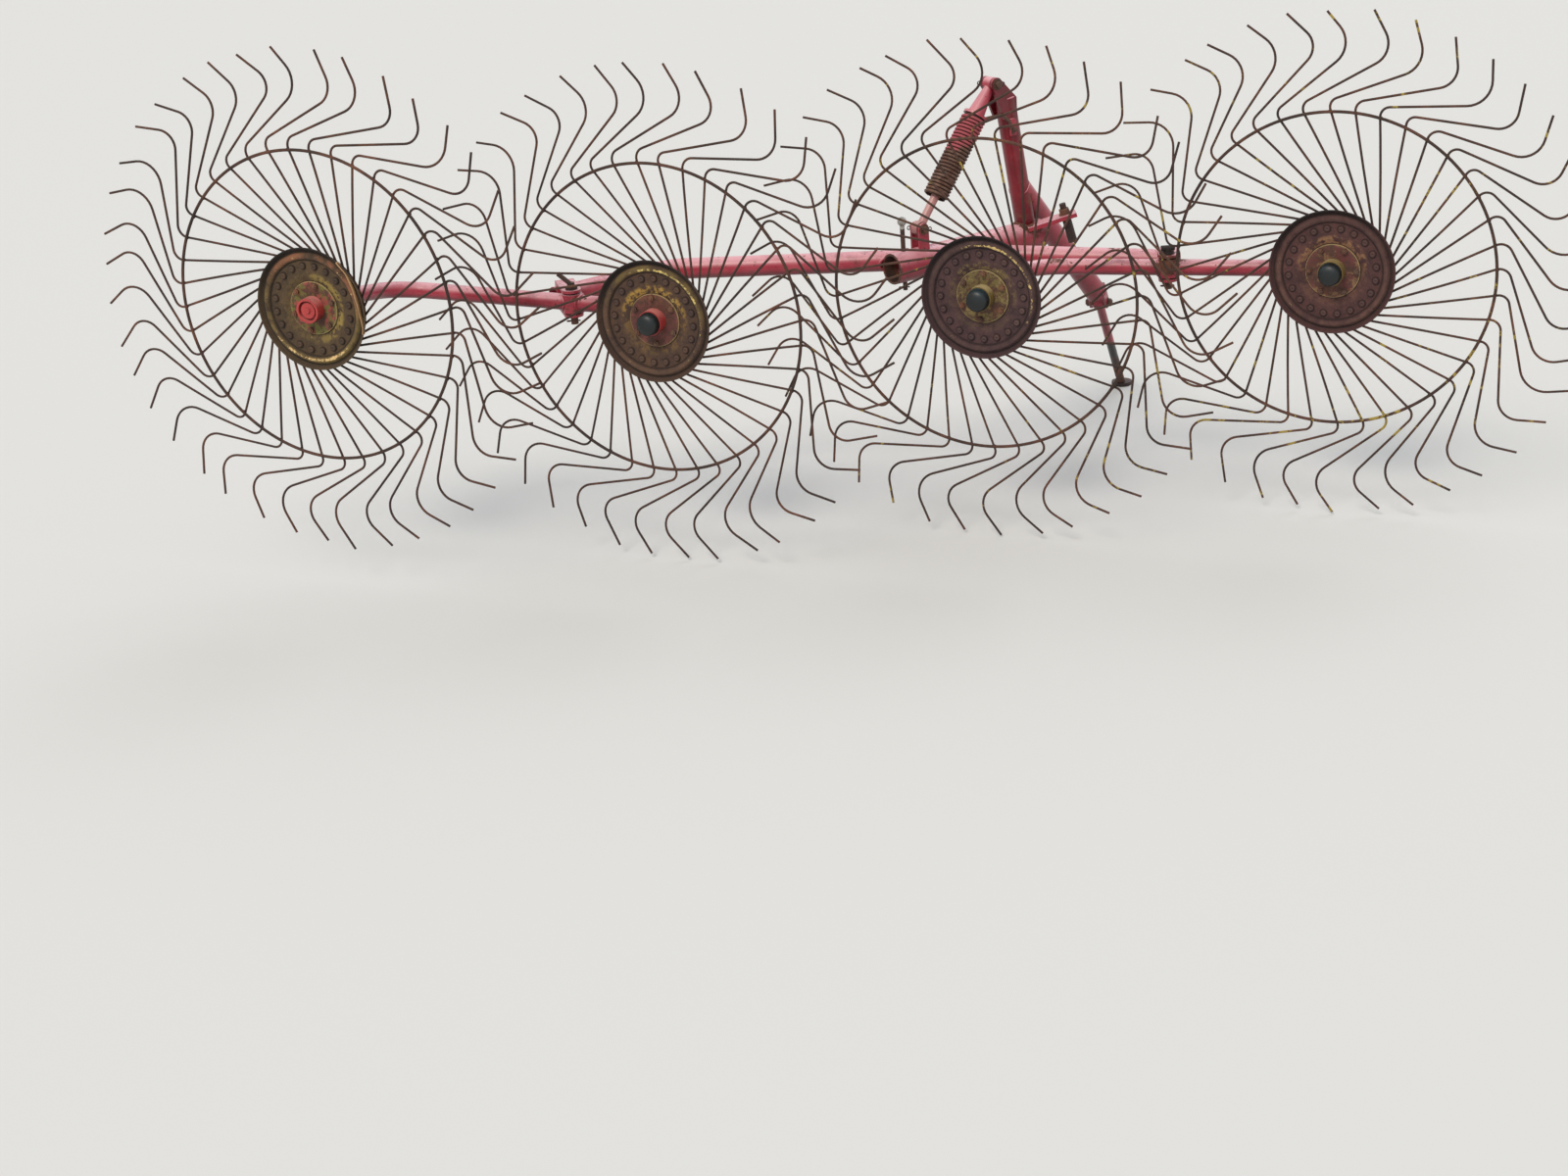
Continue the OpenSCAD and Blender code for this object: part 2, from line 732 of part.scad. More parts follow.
module stand_bolt() {
    color("#5b4a42") on_stand(stand_bolt_at) translate([0, 0, -44]) cylinder(h = 88, r = 9);
}

// Two plates from the strut's end down to the stand's bolt
module stand_ears() {
    color("#c8384a")
        difference() {
            on_stand(strut_end)
                for (s = [-25, 25])
                    translate([0, 0, s - 4]) {
                        linear_extrude(8)
                            polygon([[-36, 7], [-4, 37],
                                     [stand_bolt_out + 14, -stand_bolt_drop + 14],
                                     [stand_bolt_out - 14, -stand_bolt_drop - 14]]);
                        translate([stand_bolt_out, -stand_bolt_drop, 0]) cylinder(h = 8, r = 19.8);
                    }
            bar(strut_start, strut_end + strut_unit * 0.3, strut_tube / 2 + 0.3);
            on_stand(stand_bolt_at) translate([0, 0, -60]) cylinder(h = 120, r = 9.3);
        }
}

module stand_leg() {
    color("#7e1a26")
        difference() {
            union() {
                bar(stand_bolt_at, foot_at, stand_rod / 2);
                on_stand(stand_bolt_at) translate([0, 0, -16]) cylinder(h = 32, r = 20);
            }
            on_stand(stand_bolt_at) translate([0, 0, -60]) cylinder(h = 120, r = 9.05);
            translate(foot_at - [100, 100, 100]) cube([200, 200, 112]);
        }
}

module stand_foot() {
    color("#1b1917") translate(foot_at) cylinder(h = 12, r = foot_round / 2);
}

module hitch_plate() {
    color("#b8323f")
        difference() {
            translate(hitch_at)
                rotate([0, -hitch_lean, 0])
                    difference() {
                        translate([0, -78, 0]) cube([pin_out + 32, 62, hitch_plate_thick]);
                        translate([pin_out, -44, -50]) cylinder(h = 150, r = 10.3);
                    }
            bar(mast_foot, mast_top, mast_tube / 2 + 0.3);
            bar(socket_end, socket_end + main_dir * (main_length + 0.3), main_r + 0.3);
            bar(strut_start, strut_end, strut_tube / 2 + 0.3);
        }
}

// Hitch pin under its plate, with a thinner stub through it
module hitch_pin() {
    color("#5b4a42")
        translate(hitch_at)
            rotate([0, -hitch_lean, 0])
                translate([pin_out, -44, 0]) {
                    translate([0, 0, -hitch_pin_length - 0.3])
                        cylinder(h = hitch_pin_length, r = hitch_pin_radius);
                    translate([0, 0, -2]) cylinder(h = 48, r = 10);
                }
}

placed() wheel_tines(0);  // wheel_1_tines
placed() wheel_tines(1);  // wheel_2_tines
placed() wheel_tines(2);  // wheel_3_tines
placed() wheel_tines(3);  // wheel_4_tines
placed() wheel_disc(0);  // wheel_1_disc
placed() wheel_disc(1);  // wheel_2_disc
placed() wheel_disc(2);  // wheel_3_disc
placed() wheel_disc(3);  // wheel_4_disc
placed() wheel_back_plate(0);  // wheel_1_back_plate
placed() wheel_back_plate(1);  // wheel_2_back_plate
placed() wheel_back_plate(2);  // wheel_3_back_plate
placed() wheel_back_plate(3);  // wheel_4_back_plate
placed() wheel_hub(0);  // wheel_1_hub
placed() wheel_hub(1);  // wheel_2_hub
placed() wheel_hub(2);  // wheel_3_hub
placed() wheel_hub(3);  // wheel_4_hub
placed() wheel_cap(1);  // wheel_2_cap
placed() wheel_cap(2);  // wheel_3_cap
placed() wheel_cap(3);  // wheel_4_cap
placed() axle(0);  // axle_1
placed() axle(1);  // axle_2
placed() axle(2);  // axle_3
placed() axle(3);  // axle_4
placed() axle_nut();  // axle_1_nut
placed() left_carrier();
placed() right_carrier();
placed() left_bracket();
placed() right_bracket();
placed() left_swivel_pin();
placed() right_swivel_pin();
placed() left_beam();
placed() right_beam();
placed() main_socket_tube();
placed() socket_pin();
placed() spring_ears();
placed() spring_pin();
placed() spring_rod_and_eye();  // spring_rod
placed() spring_coil();
placed() spring_yoke();
placed() mast();
placed() mast_pin();
placed() strut();
placed() stand_ears();
placed() stand_bolt();
placed() stand_leg();
placed() stand_foot();
placed() hitch_plate();
placed() hitch_pin();
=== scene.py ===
"""Looks of a four-wheel hay rake: finish, discs, fasteners, coil, light and camera."""

import json
import math
import random

import bpy
from mathutils import Matrix, Vector, noise


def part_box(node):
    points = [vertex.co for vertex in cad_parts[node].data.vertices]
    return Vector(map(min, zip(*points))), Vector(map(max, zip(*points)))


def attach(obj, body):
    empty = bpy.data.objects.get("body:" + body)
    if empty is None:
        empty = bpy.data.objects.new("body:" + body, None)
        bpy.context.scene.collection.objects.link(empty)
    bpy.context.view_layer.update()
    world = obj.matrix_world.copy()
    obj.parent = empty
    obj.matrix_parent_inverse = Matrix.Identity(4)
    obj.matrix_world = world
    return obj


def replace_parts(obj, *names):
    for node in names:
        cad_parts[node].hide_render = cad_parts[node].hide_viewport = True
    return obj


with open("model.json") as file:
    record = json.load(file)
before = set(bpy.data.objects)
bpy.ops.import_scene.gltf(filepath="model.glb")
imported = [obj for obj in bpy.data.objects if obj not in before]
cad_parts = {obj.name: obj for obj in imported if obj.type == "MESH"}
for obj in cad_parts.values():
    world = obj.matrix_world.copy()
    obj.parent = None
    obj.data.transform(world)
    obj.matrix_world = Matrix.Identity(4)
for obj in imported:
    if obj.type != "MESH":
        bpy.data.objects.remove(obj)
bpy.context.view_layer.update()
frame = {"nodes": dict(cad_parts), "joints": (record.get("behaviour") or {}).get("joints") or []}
nodes = frame["nodes"]
joints = {joint["name"]: joint for joint in frame["joints"]}

# Wheel sizes in metres, the same as the solids they dress; Z is measured along the axle
DISC_RADIUS = 0.179
DISC_FRONT = 0.0038
SHEET = 0.003
BAND_RISE = 0.009
RIDGE_RISE = 0.0185
PLATE_BACK = 0.0162
NOSE_RADIUS = 0.036
NOSE_FRONT = 0.046
FLANGE_RADIUS = 0.43 * DISC_RADIUS
FLANGE_FRONT = 0.0121
BOLT_RING = 0.375 * DISC_RADIUS
RIVET_RING = 0.693 * DISC_RADIUS
RIVETS = 20
RIVET_TURN = 0.11
RIVET_HEAD = (0.0092, 0.0068)
BOLT_TURNS = {1: 0.27, 2: 0.55, 3: 0.42, 4: 0.0}
HUB_BOLTS = 6
HUB_BOLT = (0.015, 0.007, 0.0095)
HUB_NUT = (0.015, 0.007, 0.010)
CAP_RADIUS = 0.0335
CAP_LENGTH = 0.030
TORN_LIP = ((1.0, 52.0), (0.965, 38.0), (0.925, 24.0), (0.905, 10.0), (0.925, -4.0), (0.975, -14.0),
            (1.0, -22.0))
TORN_FOOT, TORN_TOP, TORN_WIDTH = 0.020, 0.030, 0.0034

TINES = 40
TINE_WIRE = 0.007
HOOP_RADIUS = 0.450
HOOP_WIRE = 0.009
TINE_START = 0.140
TINE_CORNERS = ((0.480, 30.0, 0.028), (0.626, 3.5, 0.060))
TINE_TIP = (0.7325, 10.5)
HOOP_LEVEL = (HOOP_WIRE + TINE_WIRE) / 2 - 0.0012

# Frame sizes and the places of its main lines
UP = Vector((0.0, 0.0, 1.0))
MAIN_TURN = math.radians(34.0)
MAIN_DIR = Vector((math.cos(MAIN_TURN), math.sin(MAIN_TURN), 0.0))
MAIN_SIDE = Vector((math.sin(MAIN_TURN), -math.cos(MAIN_TURN), 0.0))
MAIN_RADIUS = 0.047
SOCKET_BORE = 0.040
SOCKET_PIN = (0.046, 0.064)
SOCKET_RUST = (0.0012, 0.0355)
SOCKET_END = Vector((0.2100, -0.1766, 0.7280))
MAST_FOOT = SOCKET_END + MAIN_DIR * 0.527
MAST_TOP = MAST_FOOT + UP * 0.442 - MAIN_DIR * 0.070
APEX = MAST_TOP + UP * 0.049 - MAIN_DIR * 0.050
EYE = SOCKET_END + MAIN_DIR * 0.110 + UP * 0.104
MAST_RADIUS = 0.0315
STRUT_END = Vector((0.9000, 0.4544, 0.4390))
FOOT = Vector((1.0300, 0.8434, 0.0))
BEAM_RADIUS = 0.03175
CARRIER_RADIUS = 0.02415
CARRIER_REACH = 0.094
CARRIER_SLANT = math.radians(19.8)
BEND_DROPS = {1: 0.057, 3: 0.026}
END_DROPS = {2: 0.0, 4: 0.020}
BOSS_RADIUS = 0.030
BOSS_BACK = 0.117
COLLAR_RADIUS = 0.030
COIL_WIRE = 0.0080
COIL_TURNS = 24
COIL_PAINT = (0.98, 1.13)
COIL_SHADOW = (1.1, 0.85)
HITCH_LEAN = math.radians(14.0)
HITCH_RISE, HITCH_OUT, HITCH_BACK, HITCH_HALF = 0.030, 0.1215, 0.044, 0.0122

# From the middle of a cross pin to its washer and its split pin, and the washer's edge
EYE_PIN = (0.0233, 0.0305, 0.016)
APEX_PIN = (0.0292, 0.0372, 0.017)
SWIVEL_PIN = (0.0402, 0.0550, 0.018)
PIN_HOLE, SWIVEL_HOLE = 0.0101, 0.0112
STAND_BOLT_OUT = 0.0292

# Bolt heads: across the flats, height and the washer's radius
STAND_HEAD = (0.024, 0.010, 0.016)
HITCH_HEAD = (0.030, 0.016, 0.020)
TAB_HEAD = (0.013, 0.007, 0.009)

# Latch rod and its tab by the mast: along the main tube, above it and to its side
LATCH_ROD = 0.0052
TAB_HALF, TAB_TALL, TAB_THICK = 0.012, 0.026, 0.006
LATCH_ROUTE = ((-0.166, 0.394, 0.020), (-0.100, 0.396, 0.024), (-0.078, 0.372, 0.032),
               (-0.070, 0.334, 0.034))
LATCH_TAB = (-0.066, 0.355, 0.0322)

# Lines that follow the joints; each beam from the main tube to its next bend
LEFT_SWIVEL = Vector(joints["left_gang_swivel"]["pos_m"])
RIGHT_SWIVEL = Vector(joints["right_gang_swivel"]["pos_m"])
STAND_BOLT = Vector(joints["stand_swing"]["pos_m"])
LEFT_BEAM = (SOCKET_END + MAIN_DIR * 0.085 + UP * 0.012,
             LEFT_SWIVEL + Vector((0.275, 0.366, -0.012)))
RIGHT_BEAM = (SOCKET_END + MAIN_DIR * 0.302 - UP * 0.014,
              RIGHT_SWIVEL + Vector((0.0462, 0.0928, -0.006)))

# Camera, fitted to the photograph
CAMERA_PLACE = Vector((-0.0589, -7.1760, 2.5000))
CAMERA_RIGHT = Vector((0.9974, -0.0102, -0.0720))
CAMERA_FORWARD = Vector((-0.0171, 0.9295, -0.3684))
CAMERA_LENS = 54.71

WHEELS = (1, 2, 3, 4)


# Places


def hub(wheel):
    """Middle of a wheel."""
    return Vector(joints[f"wheel_{wheel}_spin"]["pos_m"])


def axle(wheel):
    """Direction of a wheel's axle, to its front."""
    return Vector(joints[f"wheel_{wheel}_spin"]["axis"]).normalized()


def wheel_place(wheel):
    """Matrix of a wheel: Z to its front along the axle, Y up, X to the right."""
    front = axle(wheel)
    place = Matrix((UP.cross(front), UP, front)).transposed().to_4x4()
    place.translation = hub(wheel)
    return place


def facing(start, along):
    """Matrix that puts Z along a direction, with its origin at the start."""
    place = along.normalized().to_track_quat("Z", "Y").to_matrix().to_4x4()
    place.translation = start
    return place


def turns(count):
    """Even angles round a circle."""
    return [math.tau * k / count for k in range(count)]


def round_point(reach, angle, height=0.0):
    """Point at a distance and an angle round Z."""
    return Vector((reach * math.cos(angle), reach * math.sin(angle), height))


# Shader graphs


class Graph:
    """A node material with short ways to add its textures and masks."""

    def __init__(self, name, roughness=0.6):
        self.material = bpy.data.materials.new(name)
        self.material.use_nodes = True
        self.tree = self.material.node_tree
        self.tree.nodes.clear()
        self.shader = self.add("ShaderNodeBsdfPrincipled", {"Roughness": roughness})
        self.add("ShaderNodeOutputMaterial", {"Surface": self.shader.outputs[0]})
        self.coords = self.add("ShaderNodeTexCoord").outputs["Object"]

    def add(self, kind, inputs=None, **settings):
        """A new node with its settings, and its inputs fed by name or number."""
        node = self.tree.nodes.new(kind)
        for key, value in settings.items():
            setattr(node, key, value)
        for key, value in (inputs or {}).items():
            self.feed(node.inputs[key], value)
        return node

    def feed(self, socket, value):
        """Links a socket to an output, or sets it to a plain value or a hex colour."""
        if isinstance(value, bpy.types.NodeSocket):
            self.tree.links.new(value, socket)
        else:
            socket.default_value = colour(value) if isinstance(value, str) else value

    def math(self, operation, a, b=0.0):
        return self.add("ShaderNodeMath", {0: a, 1: b}, operation=operation).outputs[0]

    def vector(self, operation, a, b):
        return self.add("ShaderNodeVectorMath", {0: a, 1: b}, operation=operation).outputs

    def times(self, a, b):
        return self.math("MULTIPLY", a, b)

    def plus(self, a, b):
        return self.math("ADD", a, b)

    def less(self, a, b):
        return self.math("SUBTRACT", a, b)

    def most(self, a, b):
        return self.math("MAXIMUM", a, b)

    def blend(self, a, share, b, rest):
        """Two values added up in the given shares."""
        return self.plus(self.times(a, share), self.times(b, rest))

    def stray(self, value, amount):
        """A noise turned into a small value above and below zero."""
        return self.times(self.less(value, 0.5), amount)

    def noise(self, scale, detail=6.0, rough=0.6, stretch=None):
        coords = self.coords
        if stretch:
            coords = self.add("ShaderNodeMapping", {"Scale": stretch, "Vector": coords}).outputs[0]
        inputs = {"Scale": scale, "Detail": detail, "Roughness": rough, "Vector": coords}
        return self.add("ShaderNodeTexNoise", inputs).outputs["Fac"]

    def cells(self, scale):
        inputs = {"Scale": scale, "Vector": self.coords}
        return self.add("ShaderNodeTexVoronoi", inputs).outputs["Distance"]

    def step(self, value, low, high):
        """0 below low, 1 above high and smooth between."""
        inputs = {"Value": value, "From Min": low, "From Max": high}
        return self.add("ShaderNodeMapRange", inputs, interpolation_type="SMOOTHSTEP").outputs["Result"]

    def ramp(self, value, *stops):
        """Colours along a value; each stop is (position, hex colour)."""
        node = self.add("ShaderNodeValToRGB", {"Fac": value})
        elements = node.color_ramp.elements
        while len(elements) < len(stops):
            elements.new(0.5)
        for element, (position, shade) in zip(elements, stops):
            element.position = position
            element.color = colour(shade)
        return node.outputs["Color"]

    def mix(self, share, a, b):
        return self.add("ShaderNodeMix", {0: share, 6: a, 7: b}, data_type="RGBA").outputs[2]

    def bump(self, height, distance, strength=1.0):
        inputs = {"Strength": strength, "Distance": distance, "Height": height}
        self.feed(self.shader.inputs["Normal"], self.add("ShaderNodeBump", inputs).outputs["Normal"])

    def normal(self):
        return self.add("ShaderNodeNewGeometry").outputs["Normal"]

    def upward(self, way):
        """The Z of a direction or a place."""
        return self.add("ShaderNodeSeparateXYZ", {0: way}).outputs["Z"]

    def edges(self, radius=0.004):
        """1 on convex and concave edges, 0 on flat and gently curved walls."""
        bevel = self.add("ShaderNodeBevel", {"Radius": radius}, samples=4).outputs[0]
        dot = self.vector("DOT_PRODUCT", bevel, self.normal())["Value"]
        return self.step(self.less(1.0, dot), 0.02, 0.16)

    def facing(self, low, high):
        """0 to 1 as the surface turns to the sky, or to the ground where high is the lower value."""
        return self.step(self.upward(self.normal()), low, high)

    def polar(self, place):
        """Distance from a wheel's axle as a share of its disc, then the metres across and up."""
        offset = self.vector("SUBTRACT", self.coords, place.translation)[0]
        across, up = (self.vector("DOT_PRODUCT", offset, place.col[k].xyz)["Value"] for k in (0, 1))
        reach = self.math("SQRT", self.plus(self.times(across, across), self.times(up, up)))
        return self.math("DIVIDE", reach, DISC_RADIUS), across, up

    def near(self, centre, reach):
        """1 at a point, fading to 0 at the given distance."""
        away = self.vector("DISTANCE", self.coords, centre)["Value"]
        return self.less(1.0, self.step(away, reach * 0.45, reach))

    def height(self, low, high):
        """0 below one height and 1 above another."""
        return self.step(self.upward(self.coords), low, high)

    def rough(self, value):
        self.feed(self.shader.inputs["Roughness"], value)

    def colour(self, value):
        self.feed(self.shader.inputs["Base Color"], value)


def colour(code):
    """Linear RGBA of a hex colour such as c8384a."""
    parts = [int(code[k : k + 2], 16) / 255 for k in (0, 2, 4)]
    linear = [p / 12.92 if p <= 0.04045 else ((p + 0.055) / 1.055) ** 2.4 for p in parts]
    return (*linear, 1.0)


# Materials

SOOT, RUST_STREAK, BLACK_PAINT = "6e4a48", "5a2a22", "1d1817"
# LIP_SHADE, GROOVE_SHADE and RIVET_SHADE are painted shade for the discs: the lip's top, the grooves
# and round the rivets
LIP_SHADE, GROOVE_SHADE, RIVET_SHADE, BARE_EDGE = "120d0d", "17100e", "150f0d", "e6cf96"
RUST = ((0.25, "2a1c17"), (0.45, "4a3027"), (0.58, "6b412f"), (0.72, "8a5334"), (0.85, "a36b45"))


def rust_colour(g, scale=18.0):
    """Mottled rust from near black to orange brown."""
    coarse = g.noise(scale, 8.0, 0.65)
    fine = g.noise(scale * 9.0, 4.0, 0.7)
    mixed = g.blend(coarse, 0.72, fine, 0.28)
    return g.ramp(mixed, *RUST), fine


def painted_steel(name, tones, wear=0.55, edge_wear=0.7, gloss=0.34, rusty_at=(), black_below=None):
    """Faded paint with soot in it, a painted highlight on its top and painted shade underneath, rusting
    through in patches and along edges.
    """
    g = Graph(name)
    cloud = g.noise(14.0, 6.0, 0.6)
    tone = g.blend(g.noise(2.6, 3.0, 0.5), 0.6, cloud, 0.4)
    paint = g.ramp(tone, (0.34, tones[0]), (0.5, tones[1]), (0.66, tones[2]))
    # Painted highlight: the paint turns paler on faces turned to the sky
    top_highlight = g.times(g.facing(0.1, 0.95), g.step(g.noise(5.0), 0.22, 0.56))
    paint = g.mix(g.times(top_highlight, 0.85), paint, tones[3])
    # Painted shade: faces turned to the ground get the paint's dark underside tone
    paint = g.mix(g.times(g.facing(-0.05, -0.85), 0.8), paint, tones[4])
    soot = g.step(g.blend(g.noise(19.0, 8.0, 0.7), 0.7, g.noise(110.0, 3.0), 0.3), 0.50, 0.68)
    paint = g.mix(g.times(soot, 0.46), paint, SOOT)
    if black_below:
        paint = g.mix(g.height(black_below, black_below - 0.02), paint, BLACK_PAINT)
    streak = g.step(g.noise(30.0, 5.0, 0.7, stretch=(1.0, 1.0, 0.12)), 0.56, 0.74)
    paint = g.mix(g.times(streak, 0.35), paint, RUST_STREAK)
    rust, grain = rust_colour(g)
    spread = g.noise(9.0, 9.0, 0.68)
    for centre, reach in rusty_at:
        spread = g.plus(spread, g.times(g.near(centre, reach), 0.12))
    patches = g.step(spread, wear, wear + 0.05)
    chips = g.step(g.noise(85.0, 3.0, 0.6), 0.66, 0.70)
    worn = g.times(g.edges(), g.step(g.noise(28.0, 4.0), 0.36, 0.56))
    bare = g.most(patches, g.most(chips, g.times(worn, edge_wear)))
    g.colour(g.mix(bare, paint, rust))
    g.rough(g.plus(g.times(bare, 0.42), g.plus(g.times(cloud, 0.25), gloss - 0.1)))
    height = g.blend(g.less(1.0, bare), 0.5, g.times(grain, bare), 0.8)
    g.bump(g.plus(height, g.times(g.noise(140.0, 2.0), 0.10)), 0.0009, 0.8)
    return g.material


def rusty_steel(name, base, light, rough=0.78, redness=1.0, paint=None, paint_share=0.57):
    """Bare steel gone brown, with pits, and flakes of old paint where paint is given."""
    g = Graph(name)
    rust, grain = rust_colour(g, 24.0)
    film = g.noise(7.0, 5.0, 0.55)
    body = g.mix(g.times(g.step(film, 0.35, 0.7), redness), base, rust)
    body = g.mix(g.times(g.step(g.noise(3.0, 4.0), 0.5, 0.75), 0.45), body, light)
    height = g.plus(grain, g.times(g.cells(260.0), 0.6))
    if paint:
        flakes = g.blend(g.noise(40.0, 7.0, 0.7), 0.6, g.noise(6.0, 3.0), 0.4)
        flakes = g.step(flakes, paint_share, paint_share + 0.03)
        body = g.mix(flakes, body, paint)
        height = g.plus(height, g.times(flakes, 0.8))
    g.colour(body)
    g.rough(g.plus(g.times(grain, 0.2), rough - 0.1))
    g.bump(height, 0.0006, 0.7)
    return g.material


def band(g, reach, inner, outer, soft=0.012):
    """1 between two distances from the axle, given as shares of the disc."""
    return g.times(g.step(reach, inner - soft, inner + soft),
                  g.less(1.0, g.step(reach, outer - soft, outer + soft)))


def disc_finish(name, place, seed, tones, ring_tone, ring_side, ridge_tones, worn_tone, worn_share,
                worn_side):
    """A pressed disc: rust tones, an old paint tone on ring and ridge, bright worn flakes, and painted
    shade on the lip's top, in the grooves and round the rivets.
    """
    g = Graph(name)
    reach, across, upward = g.polar(place)
    cloud = g.noise(15.0 + seed, 9.0, 0.68)
    fine = g.noise(130.0, 5.0, 0.72)
    tone = g.blend(cloud, 0.62, fine, 0.38)
    body = g.ramp(tone, (0.30, tones[0]), (0.46, tones[1]), (0.60, tones[2]), (0.76, tones[3]))
    jitter = g.plus(reach, g.stray(g.noise(34.0, 5.0), 0.09))

    def toward(way, low, high):
        """0 to 1 across the disc in a direction."""
        return g.step(g.plus(g.times(across, way[0] / DISC_RADIUS),
                             g.times(upward, way[1] / DISC_RADIUS)), low, high)

    flakes = g.step(g.blend(g.noise(24.0 + seed, 7.0, 0.66), 0.5, g.noise(75.0, 4.0), 0.5), 0.45, 0.56)
    ring = g.times(band(g, jitter, 0.43, 0.57, 0.04), flakes)
    ring = g.times(ring, g.plus(g.times(toward(ring_side, -0.2, 0.4), 0.6), 0.12))
    body = g.mix(ring, body, ring_tone)
    ridge = g.times(band(g, jitter, 0.81, 0.91, 0.02), g.step(cloud, 0.36, 0.62))
    ridge_tone = g.mix(toward((0.25, 1.0), -0.1, 0.6), ridge_tones[0], ridge_tones[1])
    body = g.mix(g.times(ridge, 0.6), body, ridge_tone)
    lip = band(g, reach, 0.93, 1.05, 0.01)
    body = g.mix(g.times(lip, 0.55), body, tones[1])
    # Painted shade: the lip darkens towards the top of the disc
    body = g.mix(g.times(g.times(lip, toward((-0.2, 1.0), 0.2, 0.9)), 0.85), body, LIP_SHADE)
    crest = g.most(band(g, reach, 0.815, 0.865, 0.02), g.times(band(g, reach, 0.44, 0.52), 0.6))
    lean = g.blend(toward(worn_side, 0.1, 0.8), 0.11, crest, 0.14)
    spots = g.blend(g.noise(80.0, 9.0, 0.80), 0.70, g.noise(22.0 + seed, 3.0), 0.30)
    worn = g.step(g.plus(spots, lean), worn_share, worn_share + 0.045)
    worn = g.times(worn, g.less(1.0, g.step(reach, 0.90, 0.93)))
    body = g.mix(worn, body, g.mix(fine, worn_tone, BARE_EDGE))
    # Painted shade in the grooves beside the ridge and round the flange's edge
    groove_shade = g.most(band(g, reach, 0.775, 0.80, 0.012), band(g, reach, 0.905, 0.94, 0.015))
    groove_shade = g.most(groove_shade, band(g, reach, 0.425, 0.445, 0.006))
    body = g.mix(g.times(groove_shade, 0.72), body, GROOVE_SHADE)
    # Painted shadow round the foot of each rivet
    rivet_shadow = shadow_round_rivets(g, reach, across, upward, RIVET_TURN * int(name[-1]))
    g.colour(g.mix(g.times(rivet_shadow, 0.75), body, RIVET_SHADE))
    g.rough(g.less(0.84, g.times(worn, 0.36)))
    height = g.plus(g.blend(fine, 0.8, worn, 0.5), g.times(g.cells(300.0), 0.5))
    g.bump(g.plus(height, g.times(cloud, 0.8)), 0.0012, 0.9)
    return g.material


def shadow_round_rivets(g, reach, across, upward, start):
    """1 in the painted shadow close round each rivet of a disc."""
    step = math.tau / RIVETS
    turn = g.less(g.math("ARCTAN2", upward, across), start)
    share = g.math("FRACT", g.plus(g.math("DIVIDE", turn, step), RIVETS + 0.5))
    along = g.times(g.less(share, 0.5), step * RIVET_RING / DISC_RADIUS)
    out = g.less(reach, RIVET_RING / DISC_RADIUS)
    near = g.math("SQRT", g.plus(g.times(along, along), g.times(out, out)))
    return g.less(1.0, g.step(near, 0.052, 0.078))


def flange_finish(name, paints, rust_share=0.5):
    """Flange of a hub: patches of two old paints on rust."""
    g = Graph(name)
    rust, grain = rust_colour(g, 26.0)
    first = g.step(g.noise(21.0, 7.0, 0.65), 0.44, 0.52)
    second = g.step(g.noise(33.0, 7.0, 0.68), 0.52, 0.57)
    body = g.mix(first, rust, paints[0])
    body = g.mix(second, body, paints[1])
    bare = g.step(g.noise(60.0, 6.0, 0.7), rust_share, rust_share + 0.06)
    body = g.mix(g.times(bare, 0.8), body, "4a3026")
    g.colour(g.mix(g.times(g.edges(0.003), 0.5), body, "c8b27a"))
    g.rough(g.plus(g.times(grain, 0.25), 0.62))
    g.bump(grain, 0.0008, 0.8)
    return g.material


def coil_finish(name):
    """Spring wire with paint left on its upper turns and brown rust below."""
    g = Graph(name)
    rust, grain = rust_colour(g, 30.0)
    body = g.mix(g.step(g.noise(12.0, 4.0), 0.35, 0.65), "7d6152", "5a4136")
    body = g.mix(g.step(g.noise(45.0, 6.0), 0.45, 0.62), body, rust)
    ragged = g.plus(g.height(*COIL_PAINT), g.stray(g.noise(20.0, 7.0), 1.3))
    body = g.mix(g.times(g.step(ragged, 0.42, 0.60), 0.85), body, "b2505a")
    g.colour(body)
    g.rough(g.plus(g.times(grain, 0.25), 0.55))
    g.bump(grain, 0.0006, 0.7)
    return g.material


def worn_rubber(name, tone, sheen_tone):
    """Dull dark cap, with a painted cool sheen on top."""
    g = Graph(name)
    # Painted sheen on faces turned to the sky
    top_sheen = g.times(g.facing(-0.2, 0.9), g.step(g.noise(22.0, 6.0), 0.35, 0.75))
    g.colour(g.mix(g.times(top_sheen, 0.6), tone, sheen_tone))
    g.rough(g.plus(g.times(g.noise(60.0, 4.0), 0.3), 0.28))
    g.bump(g.noise(180.0, 4.0), 0.0004, 0.5)
    return g.material


def zinc_plate(name, rust_below):
    """Dull galvanised metal with its spangle, rusted through below a height."""
    g = Graph(name)
    spangle = g.blend(g.cells(90.0), 0.5, g.noise(30.0), 0.5)
    zinc = g.ramp(spangle, (0.2, "6d6b66"), (0.5, "9c9a93"), (0.8, "c9c6bd"))
    rust, grain = rust_colour(g, 30.0)
    ragged = g.plus(g.height(rust_below - 0.02, rust_below + 0.02), g.stray(g.noise(40.0), 0.8))
    g.colour(g.mix(g.step(ragged, 0.4, 0.6), g.mix(0.5, rust, "2c2522"), zinc))
    g.rough(g.plus(g.times(grain, 0.3), 0.4))
    g.bump(g.noise(150.0), 0.0004, 0.5)
    return g.material


